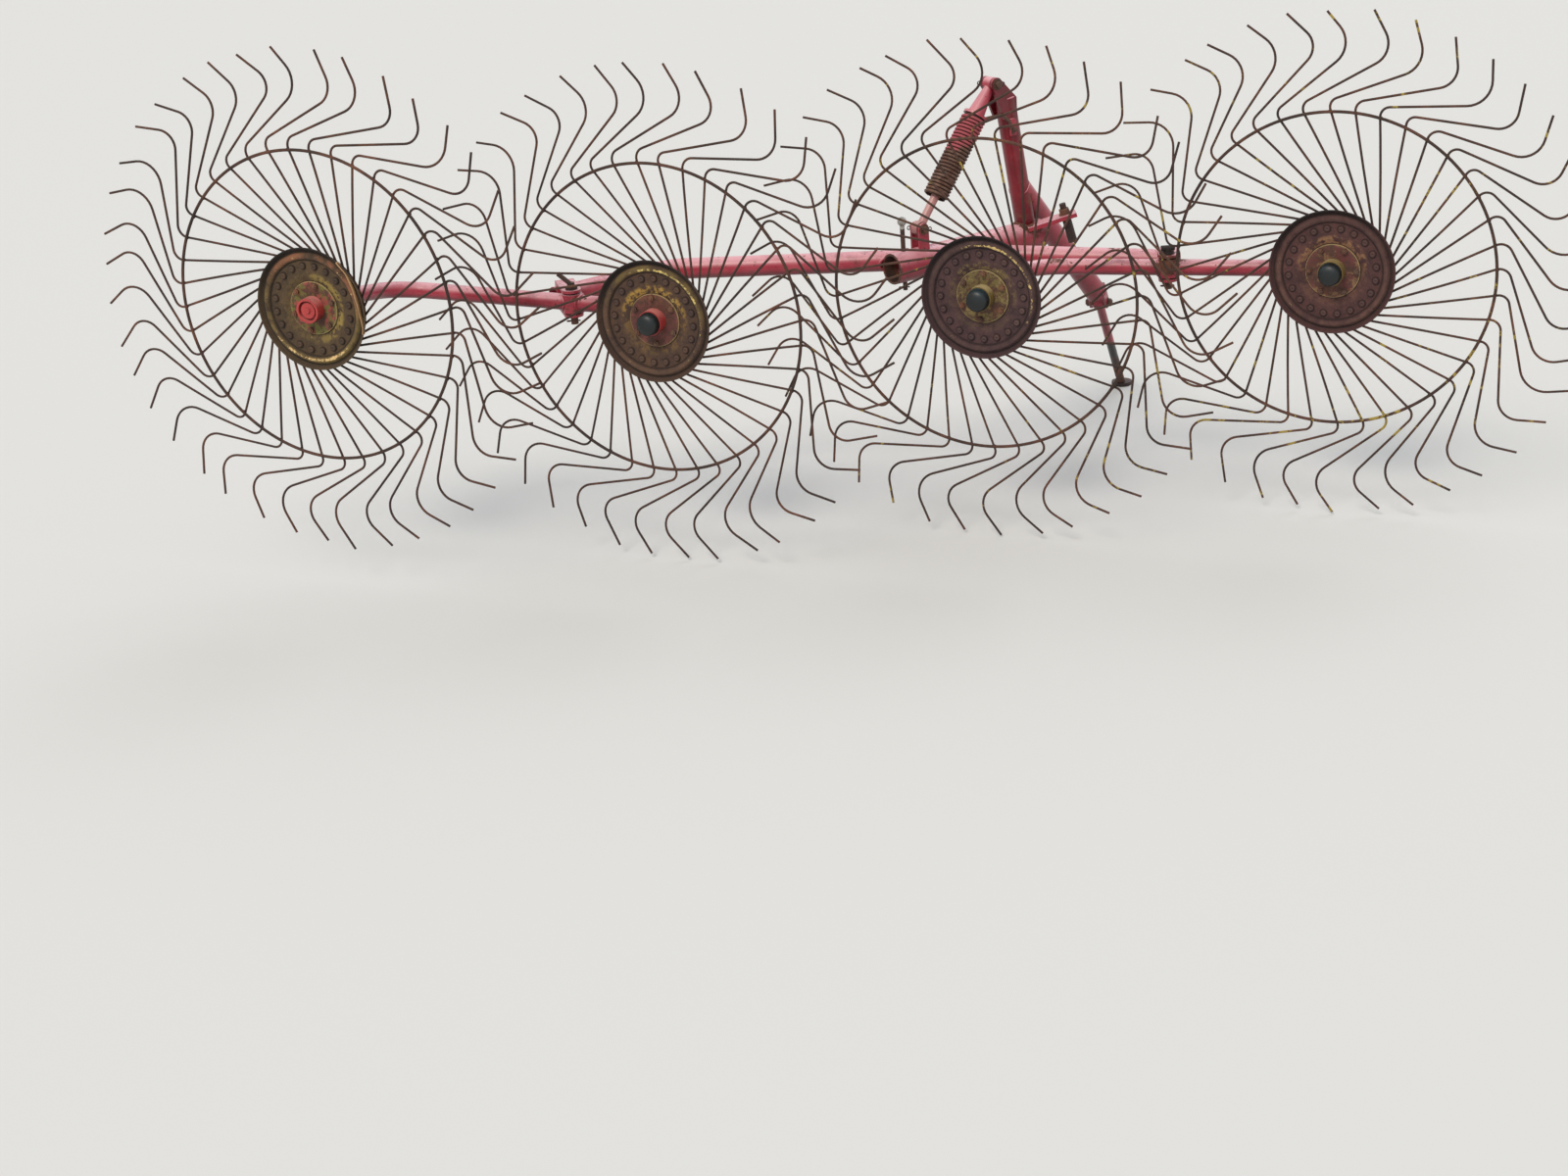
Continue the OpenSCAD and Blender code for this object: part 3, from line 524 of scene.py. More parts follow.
# Tones of a paint: three of its own, a painted highlight for its top and a painted shade for its
# underside
FRAME_TONES = ("871d2c", "ae3748", "c25562", "efb6bd", "4a1119")
DARK_TONES = ("560d18", "761824", "912633", "bd636c", "30090f")
NOSE_RED = ("8a2424", "b63c3a", "c65652", "d88a82", "5e1a19")
NOSE_YELLOW = ("5f5426", "7e6a35", "97804f", "c2ae80", "3c3420")
ROD_PINK = ("9c5a5c", "b87a78", "c8938e", "dcb4ae", "6e4040")

RUSTY_SPOTS = ((SOCKET_END, 0.08), (LEFT_SWIVEL, 0.06), (RIGHT_SWIVEL, 0.06), (STRUT_END, 0.09),
               (MAST_FOOT + UP * 0.04, 0.09))
DARK_SPOTS = ((FOOT + UP * 0.1, 0.16), (STAND_BOLT, 0.05), (MAST_FOOT, 0.07))
LEG_PAINT_END = 0.22

FINISHES = {
    "frame_red": painted_steel("frame_red", FRAME_TONES, wear=0.62, rusty_at=RUSTY_SPOTS),
    "frame_dark_red": painted_steel("frame_dark_red", DARK_TONES, wear=0.64, gloss=0.30,
                                    rusty_at=DARK_SPOTS),
    "leg_red": painted_steel("leg_red", FRAME_TONES, wear=0.58, rusty_at=DARK_SPOTS,
                             black_below=LEG_PAINT_END),
    "hub_red": painted_steel("hub_red", NOSE_RED, wear=0.62, edge_wear=0.5, gloss=0.42),
    "hub_yellow_green": painted_steel("hub_yellow_green", NOSE_YELLOW, wear=0.57, gloss=0.42),
    "tine_rust": rusty_steel("tine_rust", base="33241d", light="6b4633"),
    "tine_rust_yellow": rusty_steel("tine_rust_yellow", base="33241d", light="6b4633", paint="a08a3c"),
    "spring_rust": coil_finish("spring_rust"),
    "rod_pink": painted_steel("rod_pink", ROD_PINK, wear=0.60),
    "dark_steel": rusty_steel("dark_steel", base="231b18", light="4d3b31", rough=0.6),
    "worn_steel": rusty_steel("worn_steel", base="5b4236", light="a06a42", rough=0.66),
    "cap_black": worn_rubber("cap_black", "101618", "2f4550"),
    "galvanised": zinc_plate("galvanised", MAIN_RADIUS + SOCKET_END.z + 0.070),
    "nut_red": painted_steel("nut_red", NOSE_RED, wear=0.60),
    "torn_edge": rusty_steel("torn_edge", base="c39a6c", light="e2c294", rough=0.6, redness=0.25),
    # socket_dark also serves as the painted shade inside the spring's coil
    "socket_dark": rusty_steel("socket_dark", base="2a1d17", light="5a3b28", rough=0.85),
}

DISC_FINISHES = {
    1: dict(seed=0.0, tones=("2a1f18", "4a3a28", "5f4a31", "7d5c3c"), ridge_tones=("8a7640", "a2664a"),
            ring_tone="a8904a", ring_side=(1.0, 0.1),
            worn_tone="d7a560", worn_share=0.71, worn_side=(-0.3, -1.0)),
    2: dict(seed=1.7, tones=("261b17", "46332a", "5b4230", "765540"), ridge_tones=("63493a", "7c6a38"),
            ring_tone="c49c48", ring_side=(0.0, 1.0),
            worn_tone="dcbf48", worn_share=0.71, worn_side=(0.55, 0.85)),
    3: dict(seed=3.1, tones=("251a1c", "422d2e", "573c3c", "6b4c44"), ridge_tones=("4b3833", "54423a"),
            ring_tone="7f6b42", ring_side=(0.2, 0.9),
            worn_tone="cfa850", worn_share=0.72, worn_side=(0.75, 0.75)),
    4: dict(seed=4.6, tones=("261718", "472c2b", "5c3a36", "714b42"), ridge_tones=("63483d", "533c37"),
            ring_tone="9c7350", ring_side=(0.0, 1.2),
            worn_tone="9a8450", worn_share=0.80, worn_side=(-1.0, 0.2)),
}

RIVET_FINISHES = {
    1: rusty_steel("rivet_1", base="3a2c21", light="5f4a34", rough=0.7, redness=0.35),
    2: rusty_steel("rivet_2", base="42302a", light="6b5138", rough=0.7, redness=0.4),
    3: rusty_steel("rivet_3", base="432f30", light="6a4f48", rough=0.68, redness=0.3),
    4: rusty_steel("rivet_4", base="482f2e", light="745650", rough=0.68, redness=0.3),
}

FLANGE_FINISHES = {
    1: flange_finish("flange_1", ("6a6430", "94483f")),
    2: flange_finish("flange_2", ("5e322e", "6e3d36"), 0.50),
    3: flange_finish("flange_3", ("6a5c34", "7f6c42"), 0.48),
    4: flange_finish("flange_4", ("5f302e", "7a5a40"), 0.50),
}


def finish_nodes():
    """Gives every node of the frame its material."""
    rows = {
        "frame_red": ("left_carrier", "right_carrier", "left_bracket", "right_bracket", "left_beam",
                      "right_beam", "main_socket_tube", "spring_ears", "spring_yoke", "strut",
                      "stand_ears", "hitch_plate"),
        "frame_dark_red": ("mast",),
        "leg_red": ("stand_leg",),
        "hub_red": ("wheel_1_hub", "wheel_2_hub"),
        "hub_yellow_green": ("wheel_3_hub", "wheel_4_hub"),
        "tine_rust": ("wheel_1_tines", "wheel_2_tines"),
        "tine_rust_yellow": ("wheel_3_tines", "wheel_4_tines"),
        "spring_rust": ("spring_coil",),
        "rod_pink": ("spring_rod",),
        "dark_steel": ("left_swivel_pin", "right_swivel_pin", "stand_foot", "hitch_pin"),
        "worn_steel": ("axle_1", "axle_2", "axle_3", "axle_4", "spring_pin", "mast_pin", "stand_bolt"),
        "nut_red": ("axle_1_nut",),
        "cap_black": ("wheel_2_cap", "wheel_3_cap", "wheel_4_cap"),
        "galvanised": ("socket_pin",),
    }
    for finish, names in rows.items():
        for name in names:
            coat(nodes[name], FINISHES[finish])
    for wheel in WHEELS:
        place = wheel_place(wheel)
        look = disc_finish(f"disc_{wheel}", place, **DISC_FINISHES[wheel])
        coat(nodes[f"wheel_{wheel}_disc"], look)
        coat(nodes[f"wheel_{wheel}_back_plate"], look)


def coat(obj, material):
    """Gives every material slot of an object the same material."""
    if not obj.material_slots:
        obj.data.materials.append(material)
    for held in obj.material_slots:
        held.material = material


# Mesh pieces


class Pieces:
    """Vertices and faces gathered into one mesh."""

    def __init__(self):
        self.points = []
        self.faces = []

    def add(self, points, faces, place=None):
        start = len(self.points)
        self.points += [place @ p if place else p for p in points]
        self.faces += [tuple(start + k for k in face) for face in faces]

    def make(self, name, body, material, slot, bevel=0.0):
        mesh = bpy.data.meshes.new(name)
        mesh.from_pydata([tuple(p) for p in self.points], [], self.faces)
        mesh.validate()
        mesh.update()
        mesh.shade_smooth()
        obj = bpy.data.objects.new(name, mesh)
        show(obj)
        if bevel:
            edge = obj.modifiers.new("bevel", "BEVEL")
            edge.width = bevel
            edge.segments = 2
            edge.limit_method = "ANGLE"
        smooth = obj.modifiers.new("weighted", "WEIGHTED_NORMAL")
        smooth.keep_sharp = True
        coat(obj, material)
        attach(obj, body)
        return obj


def skin(rows, sides, closed=True):
    """Faces between rows of points, each row a ring; closed joins the last row to the first."""
    faces = []
    for k in range(rows if closed else rows - 1):
        here, after = k * sides, (k + 1) % rows * sides
        for j in range(sides):
            b = (j + 1) % sides
            faces.append((here + j, here + b, after + b, after + j))
    return faces


def around(first, second, reach, count):
    """Ring of offsets in the plane of two directions."""
    return [(first * math.cos(turn) + second * math.sin(turn)) * reach for turn in turns(count)]


def lathe(profile, steps, warp=None):
    """Points and faces of a closed profile of (radius, height) turned round Z."""
    points = [round_point(radius, turn, height) for turn in turns(steps) for radius, height in profile]
    if warp:
        points = [warp(p) for p in points]
    return points, [(a, d, c, b) for a, b, c, d in skin(steps, len(profile))]


def smooth_profile(corners, share=0.3, steps=4):
    """A closed profile with each corner rounded by a short curve."""
    made = []
    count = len(corners)
    for k, here in enumerate(corners):
        here = Vector(here)
        before, after = Vector(corners[k - 1]), Vector(corners[(k + 1) % count])
        start, end = here.lerp(before, share), here.lerp(after, share)
        for j in range(steps + 1):
            t = j / steps
            made.append(tuple((1 - t) ** 2 * start + 2 * t * (1 - t) * here + t * t * end))
    return made


def one_piece(name, body, shape, place, material, slot, bevel=0.0):
    """A mesh of one shape at one place."""
    gathered = Pieces()
    gathered.add(*shape, place)
    return gathered.make(name, body, material, slot, bevel)


def ring_of(name, body, shape, places, material, slot):
    """A mesh of one shape at each of some places."""
    gathered = Pieces()
    for place in places:
        gathered.add(*shape, place)
    gathered.make(name, body, material, slot)


def polar_places(place, count, radius, height, start=0.0):
    """Matrices round a wheel's axle, each turned to face outwards."""
    return [place @ Matrix.Translation(round_point(radius, start + turn, height))
            @ Matrix.Rotation(start + turn, 4, "Z") for turn in turns(count)]


def ring_section(inner, outer, low, high):
    """Square section of a ring, from its inner lower corner round."""
    return [(inner, low), (inner, high), (outer, high), (outer, low)]


def rivet(radius, height):
    """Rivet head with a rounded shoulder and a shallow dimple."""
    profile = [(0.0004, height * 0.80), (radius * 0.28, height * 0.82), (radius * 0.42, height),
               (radius * 0.70, height * 0.97), (radius * 0.93, height * 0.68), (radius, height * 0.3),
               (radius, -0.001), (0.0004, -0.001)]
    return lathe(profile, 16)


def hex_head(across, height, washer_radius):
    """Hex bolt head on a washer, with the bolt's end standing out of it."""
    gathered = Pieces()
    radius = across / math.sqrt(3)
    base, core = 0.002, 0.0005
    top, end = base + height, radius * 0.52
    gathered.add(*lathe([(core, base), (washer_radius, base), (washer_radius, -0.001),
                         (core, -0.001)], 20))
    levels = ((base, 1.0), (base + height * 0.85, 1.0), (top, 0.86))
    points = [round_point(radius * share, turn, level) for level, share in levels for turn in turns(6)]
    faces = skin(3, 6, closed=False) + [tuple(range(5, -1, -1)), tuple(range(12, 18))]
    gathered.add(points, faces)
    gathered.add(*lathe([(core, top + 0.003), (end * 0.8, top + 0.003), (end, top + 0.002),
                         (end, top - 0.001), (core, top - 0.001)], 14))
    return gathered.points, gathered.faces


def tube_along(path, radius, sides=10):
    """Round wire along a list of points, closed at both ends."""
    points = []
    normal = (path[1] - path[0]).orthogonal().normalized()
    for k, here in enumerate(path):
        along = (path[min(k + 1, len(path) - 1)] - path[max(k - 1, 0)]).normalized()
        normal = (normal - along * normal.dot(along)).normalized()
        points += [here + p for p in around(normal, along.cross(normal), radius, sides)]
    last = (len(path) - 1) * sides
    ends = [tuple(range(sides - 1, -1, -1)), tuple(range(last, last + sides))]
    return points, skin(len(path), sides, closed=False) + ends


def prism(outline, thick):
    """Plate of an outline in X and Y, its thickness centred on Z."""
    count = len(outline)
    points = [Vector((x, y, side * thick / 2)) for side in (-1, 1) for x, y in outline]
    faces = [tuple(range(count - 1, -1, -1)), tuple(range(count, 2 * count))]
    for k in range(count):
        after = (k + 1) % count
        faces.append((k, after, after + count, k + count))
    return points, faces


def washer(inner, outer, thick):
    """Flat ring from Z=0 up."""
    return lathe([(inner, thick), (outer, thick), (outer, 0.0), (inner, 0.0)], 28)


def rounded(before, corner, after, radius, steps):
    """Points of the arc that rounds a corner between two straight legs."""
    into, out = (corner - before).normalized(), (after - corner).normalized()
    half = into.angle(out) / 2
    start = corner - into * radius * math.tan(half)
    centre = corner + (out - into).normalized() * radius / math.cos(half)
    axis = into.cross(out).normalized()
    return [centre + Matrix.Rotation(2 * half * k / steps, 3, axis) @ (start - centre)
            for k in range(steps + 1)]


def saddle(base, run, radius, start, along, thick, steps=64):
    """Ring where a round bar that starts inside another one leaves its wall."""
    run, along = run.normalized(), along.normalized()
    aim = along - run * along.dot(run)
    ring = []
    for here in circle(start, along, thick, steps):
        offset = here - base
        offset -= run * offset.dot(run)
        a, b, c = aim.dot(aim), offset.dot(aim), offset.dot(offset) - radius * radius
        ring.append(here + along * ((math.sqrt(max(0.0, b * b - a * c)) - b) / a))
    return ring


def circle(centre, axis, radius, steps=56):
    """Ring of points round an axis."""
    first = axis.orthogonal().normalized()
    return [centre + p for p in around(first, axis.normalized().cross(first), radius, steps)]


def weld(ring, size=0.0045):
    """Lumpy bead of weld along a closed ring of points."""
    points, sides = [], 8
    middle = sum(ring, Vector()) / len(ring)
    for k, here in enumerate(ring):
        along = (ring[(k + 1) % len(ring)] - ring[k - 1]).normalized()
        outward = here - middle
        outward = (outward - along * outward.dot(along)).normalized()
        swell = size * (0.86 + 0.34 * abs(math.sin(k * 1.3)) + 0.3 * noise.noise(here * 60))
        points += [here + p for p in around(outward, along.cross(outward), swell, sides)]
    return points, skin(len(ring), sides)


def cotter(reach, eye=0.0055, wire=0.0016):
    """Split pin through a pin: X along it, with its eye at one end and two spread tails."""
    path = [Vector((-reach - 0.004, 0.003, 0.0)), Vector((-reach, 0.0, 0.0)), Vector((reach, 0.0, 0.0))]
    path += [Vector((reach + eye - eye * math.cos(turn), eye * math.sin(turn), 0.0))
             for turn in turns(14)[1:]]
    path += [Vector((reach, -0.001, 0.0)), Vector((-reach, -0.001, 0.0)),
             Vector((-reach - 0.005, -0.005, 0.0))]
    return tube_along(path, wire, 6)


# Wheels


def disc_profile():
    """Section of the pressed disc: bowl, cone ring, rivet band, ridge, valley and raised lip."""
    hole = (NOSE_RADIUS + 0.0004) / DISC_RADIUS
    face, ridge = SHEET + BAND_RISE, SHEET + RIDGE_RISE
    front = ((hole, SHEET), (0.44, SHEET), (0.53, face), (0.775, face), (0.79, 0.0115), (0.812, 0.019),
             (0.845, ridge), (0.872, ridge), (0.90, 0.016), (0.922, 0.0122), (0.95, 0.0145),
             (0.978, 0.0248), (0.998, 0.0248))
    back = ((0.999, 0.021), (0.967, 0.012), (0.925, 0.0092), (0.885, 0.0158), (0.86, 0.018),
            (0.825, 0.0158), (0.785, BAND_RISE), (0.54, BAND_RISE), (0.45, 0.0002), (hole, 0.0002))
    section = [(share * DISC_RADIUS, DISC_FRONT + height) for share, height in front + back]
    return smooth_profile(section, 0.33, 3)


def dented(seed):
    """Small dents and waves in pressed sheet."""
    def warp(p):
        reach = math.hypot(p.x, p.y) / DISC_RADIUS
        wave = noise.noise(Vector((p.x * 14, p.y * 14, seed))) * 0.0012
        rim = noise.noise(Vector((p.x * 38, p.y * 38, seed + 5))) * 0.0010
        return p + Vector((0, 0, (wave + rim * max(0.0, reach - 0.75) * 3) * min(1.0, reach * 1.5)))
    return warp


def dress_wheel(wheel):
    """Disc, rivets, flange, hub bolts and hub nuts of one wheel."""
    place = wheel_place(wheel)
    body, slot = f"wheel_{wheel}", disc_slot(wheel)
    steel = FINISHES["worn_steel"]
    look = nodes[f"wheel_{wheel}_disc"].material_slots[0].material
    shape = lathe(disc_profile(), 144, warp=dented(wheel * 3.7))
    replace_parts(one_piece(f"disc_{wheel}", body, shape, place, look, slot), f"wheel_{wheel}_disc")

    spots = polar_places(place, RIVETS, RIVET_RING, DISC_FRONT + BAND_RISE + SHEET, RIVET_TURN * wheel)
    ring_of(f"disc_rivets_{wheel}", body, rivet(*RIVET_HEAD), spots, RIVET_FINISHES[wheel], slot)

    top, foot = FLANGE_FRONT + 0.0007, DISC_FRONT + 0.004
    skin, edge = FLANGE_FRONT + 0.0001, FLANGE_RADIUS + 0.0001
    section = [(NOSE_RADIUS + 0.0003, top), (FLANGE_RADIUS * 0.985, top), (edge + 0.0003, top - 0.0012),
               (edge + 0.0003, foot), (edge, foot), (edge, skin), (NOSE_RADIUS + 0.0003, skin)]
    one_piece(f"flange_paint_{wheel}", body, lathe(section, 96), place, FLANGE_FINISHES[wheel], slot)

    spots = polar_places(place, HUB_BOLTS, BOLT_RING, FLANGE_FRONT + 0.0004, BOLT_TURNS[wheel])
    ring_of(f"hub_bolts_{wheel}", body, hex_head(*HUB_BOLT), spots, steel, "worn_steel")
    behind = place @ Matrix.Rotation(math.pi, 4, "X")
    spots = polar_places(behind, HUB_BOLTS, BOLT_RING, PLATE_BACK, math.pi - BOLT_TURNS[wheel])
    ring_of(f"hub_nuts_{wheel}", body, hex_head(*HUB_NUT), spots, steel, "worn_steel")


def tine_line(turn, dice):
    """Middle line of one tine: straight leg, sharp bend, cross leg, round bend and tip."""
    def at(reach, angle, out=0.0):
        a = turn + math.radians(angle)
        x = reach * math.cos(a)
        return Vector((x, reach * math.sin(a), out * max(0.0, 1.0 - (x / TINE_TIP[0]) ** 2)))

    def slip(spread):
        return dice.uniform(-spread, spread)

    (reach_one, angle_one, round_one), (reach_two, angle_two, round_two) = TINE_CORNERS
    sway = slip(0.7)
    edge = at(DISC_RADIUS, 0.0)
    first = at(reach_one + slip(0.003), angle_one + slip(0.4))
    second = at(reach_two + slip(0.007), angle_two + sway, slip(0.008))
    tip = at(TINE_TIP[0] - abs(slip(0.009)), TINE_TIP[1] + sway + slip(1.1), slip(0.014))
    leg = (first - edge).normalized()
    back = edge.dot(leg)
    start = edge - leg * (back - math.sqrt(back * back - DISC_RADIUS ** 2 + TINE_START ** 2))
    bow = Vector((-leg.y, leg.x, 0.0)) * slip(0.0022)
    path = [start, start.lerp(first, 0.3) + bow * 0.8, start.lerp(first, 0.55) + bow,
            start.lerp(first, 0.78) + bow * 0.6]
    path += rounded(start, first, second, round_one + slip(0.004), 9)
    path += rounded(first, second, tip, round_two + slip(0.010), 9)
    return path + [tip - (tip - path[-1]).normalized() * 0.0007, tip]


def dress_tines(wheel):
    """Hoop and tines of one wheel, each tine a little out of true, in place of the plain ring."""
    place = wheel_place(wheel)
    dice = random.Random(wheel * 11)
    ring = Pieces()
    for turn in turns(TINES):
        ring.add(*tube_along(tine_line(turn, dice), TINE_WIRE / 2, 8), place)
        ring.add(*weld_lump(hoop_crossing(turn)), place)
    hoop = [(HOOP_RADIUS + HOOP_WIRE / 2 * math.cos(turn), HOOP_LEVEL + HOOP_WIRE / 2 * math.sin(turn))
            for turn in turns(12)]
    ring.add(*lathe(hoop, 200), place)
    look = FINISHES["tine_rust" if wheel < 3 else "tine_rust_yellow"]
    made = ring.make(f"tine_ring_{wheel}", f"wheel_{wheel}", look, "tine_wire")
    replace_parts(made, f"wheel_{wheel}_tines")


def hoop_crossing(turn):
    """Angle at which a tine's straight leg crosses the hoop."""
    reach, angle, _ = TINE_CORNERS[0]
    edge = round_point(DISC_RADIUS, 0.0)
    leg = (round_point(reach, math.radians(angle)) - edge).normalized()
    back = edge.dot(leg)
    at = edge + leg * (-back + math.sqrt(back * back - DISC_RADIUS ** 2 + HOOP_RADIUS ** 2))
    return turn + math.atan2(at.y, at.x)


def weld_lump(turn):
    """Lump of weld that holds a tine to the hoop."""
    points, faces = lathe([(0.0003, 0.0055), (0.0042, 0.0040), (0.0058, 0.0), (0.0042, -0.0040),
                           (0.0003, -0.0055)], 10)
    spot = round_point(HOOP_RADIUS, turn, HOOP_LEVEL * 0.5)
    return [spot + p for p in points], faces


def disc_slot(wheel):
    """Slot name passed along with a wheel's disc and its rivets."""
    return "disc_olive_rust" if wheel < 3 else "disc_maroon_rust"


def dress_cap(wheel):
    """Domed push-on cap with a rolled skirt, in place of the plain one."""
    base = NOSE_FRONT + 0.0003
    r, length = CAP_RADIUS, CAP_LENGTH
    outer = [(r * 0.97, base), (r, base + 0.001), (r, base + 0.004), (r * 0.96, base + 0.005),
             (r * 0.955, base + length * 0.45), (r * 0.90, base + length * 0.68),
             (r * 0.74, base + length * 0.87), (r * 0.45, base + length * 0.97),
             (0.0004, base + length)]
    inner = [(0.0004, base + length * 0.6), (r * 0.8, base + length * 0.5), (r * 0.86, base)]
    made = one_piece(f"cap_{wheel}", f"wheel_{wheel}", lathe(outer + inner, 48), wheel_place(wheel),
                     FINISHES["cap_black"], "cap_black")
    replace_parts(made, f"wheel_{wheel}_cap")


def curve_through(knots, steps):
    """Smooth line through points, with a number of steps from each to the next."""
    path = []
    for k in range(len(knots) - 1):
        before, after = knots[max(k - 1, 0)], knots[min(k + 2, len(knots) - 1)]
        a, b = knots[k], knots[k + 1]
        for t in (j / steps for j in range(steps)):
            path.append(0.5 * (2 * a + (b - before) * t + (2 * before - 5 * a + 4 * b - after) * t * t
                               + (3 * a - before - 3 * b + after) * t ** 3))
    return path + [knots[-1]]


def folded_lip():
    """Bright torn edge where the first disc's lip is bent in."""
    knots = [round_point(share * DISC_RADIUS, math.radians(turn)) for share, turn in TORN_LIP]
    path = curve_through(knots, 8)
    points = []
    for here in path:
        top = TORN_TOP + 0.0015 * noise.noise(here * 70)
        width = TORN_WIDTH + 0.0012 * noise.noise(here * 40 + UP)
        for inward, height in ((0.0, TORN_FOOT), (0.0, top), (width, top), (width, TORN_FOOT)):
            points.append(here * (1.0 - inward / here.length) + UP * height)
    last = len(points) - 4
    faces = skin(len(path), 4, closed=False) + [(3, 2, 1, 0), tuple(range(last, last + 4))]
    one_piece("disc_torn_edge", "wheel_1", (points, faces), wheel_place(1), FINISHES["torn_edge"],
              "disc_olive_rust")


# Spring


def coil_line():
    """Lower and upper end of the coil's axis, and the coil's outer radius."""
    points = [v.co.copy() for v in nodes["spring_coil"].data.vertices]
    middle = sum(points, Vector()) / len(points)
    low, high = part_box("spring_pin"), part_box("mast_pin")
    along = ((high[0] + high[1]) / 2 - (low[0] + low[1]) / 2).normalized()
    reaches = [(p - middle).dot(along) for p in points]
    radius = max(((p - middle) - along * (p - middle).dot(along)).length for p in points)
    return middle + along * min(reaches), middle + along * max(reaches), radius


def dress_spring():
    """The coil as one wound wire round a sleeve of painted shade, in place of its plain rings."""
    low, high, radius = coil_line()
    length = (high - low).length
    place = facing(low, high - low)
    steps = 20
    path = []
    for k in range(COIL_TURNS * steps + 1):
        height = COIL_WIRE / 2 + k / steps / COIL_TURNS * (length - COIL_WIRE)
        path.append(place @ round_point(radius - COIL_WIRE / 2, math.tau * k / steps, height))
    made = one_piece("spring_winding", "frame", tube_along(path, COIL_WIRE / 2), None,
                     FINISHES["spring_rust"], "spring_rust")
    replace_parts(made, "spring_coil")
    # Dark sleeve inside the coil: painted shade between the turns
    inner, outer = (radius - COIL_WIRE * share for share in COIL_SHADOW)
    sleeve = lathe(ring_section(inner, outer, 0.001, length - 0.001), 40)
    one_piece("spring_shadow", "frame", sleeve, place, FINISHES["socket_dark"], "spring_rust")


# Frame


def carrier_line(first, second):
    """Corner of a carrier's bend and its far end, behind the second wheel."""
    back = -axle(first)
    gap = hub(second).x - hub(first).x
    yaw = math.atan2(back.x, back.y)
    reach = CARRIER_REACH + gap * math.sin(CARRIER_SLANT) / math.cos(yaw - CARRIER_SLANT)
    corner = hub(first) + back * reach - UP * BEND_DROPS[first]
    return corner, hub(second) - axle(second) * CARRIER_REACH - UP * END_DROPS[second]


def dress_carrier(first, second, gang, swivel):
    """Weld beads of one carrier: behind its first boss, at its second and at the collar."""
    corner, end = carrier_line(first, second)
    along = (corner - end).normalized()
    back = -axle(first)
    beads = Pieces()
    beads.add(*weld(circle(hub(first) + back * BOSS_BACK, back, CARRIER_RADIUS)))
    beads.add(*weld(saddle(hub(second), back, BOSS_RADIUS, end, along, CARRIER_RADIUS)))
    for way in (along, -along):
        beads.add(*weld(saddle(swivel, UP, COLLAR_RADIUS, swivel, way, CARRIER_RADIUS), 0.004))
    beads.make(f"{gang}_welds", gang, FINISHES["frame_red"], "frame_red")


def dress_joins():
    """Weld beads where the beams and the mast meet the main tube, and at the mast's top."""
    mast = (MAST_TOP - MAST_FOOT).normalized()
    beads = Pieces()
    for start, end in (LEFT_BEAM, RIGHT_BEAM):
        beads.add(*weld(saddle(SOCKET_END, MAIN_DIR, MAIN_RADIUS, start, end - start, BEAM_RADIUS)))
    beads.add(*weld(saddle(SOCKET_END, MAIN_DIR, MAIN_RADIUS, MAST_FOOT, mast, MAST_RADIUS), 0.005))
    beads.add(*weld(circle(MAST_TOP - mast * 0.0004, mast, MAST_RADIUS - 0.0015), 0.003))
    beads.make("frame_welds", "frame", FINISHES["frame_red"], "frame_red")


def dress_fasteners():
    """Heads, washers and split pins of the frame's cross pins."""
    stand_side = UP.cross((FOOT - STRUT_END) * Vector((1.0, 1.0, 0.0))).normalized()
    heads, clips = Pieces(), Pieces()
    for side in (-1, 1):
        out = stand_side * side
        heads.add(*hex_head(*STAND_HEAD), facing(STAND_BOLT + out * STAND_BOLT_OUT, out))
        out = MAIN_SIDE * side
        for spot, (face, clip, rim) in ((EYE, EYE_PIN), (APEX, APEX_PIN)):
            heads.add(*washer(PIN_HOLE, rim, 0.0025), facing(spot + out * face, out))
            clips.add(*cotter(0.011), facing(spot + out * clip, out))
    face, clip, rim = SWIVEL_PIN
    for swivel in (LEFT_SWIVEL, RIGHT_SWIVEL):
        heads.add(*washer(SWIVEL_HOLE, rim, 0.003), facing(swivel - UP * face, -UP))
        clips.add(*cotter(0.012), facing(swivel - UP * clip, -UP))
    along, drop = SOCKET_PIN
    clips.add(*cotter(0.008), facing(SOCKET_END + MAIN_DIR * along - UP * drop, -UP))
    up = Vector((-math.sin(HITCH_LEAN), 0.0, math.cos(HITCH_LEAN)))
    out = Vector((math.cos(HITCH_LEAN), 0.0, math.sin(HITCH_LEAN)))
    stub = MAST_FOOT + UP * HITCH_RISE + out * HITCH_OUT - Vector((0.0, HITCH_BACK, 0.0))
    heads.add(*hex_head(*HITCH_HEAD), facing(stub + up * HITCH_HALF, up))
    heads.make("pin_heads", "frame", FINISHES["worn_steel"], "worn_steel", bevel=0.0008)
    clips.make("split_pins", "frame", FINISHES["dark_steel"], "dark_steel")


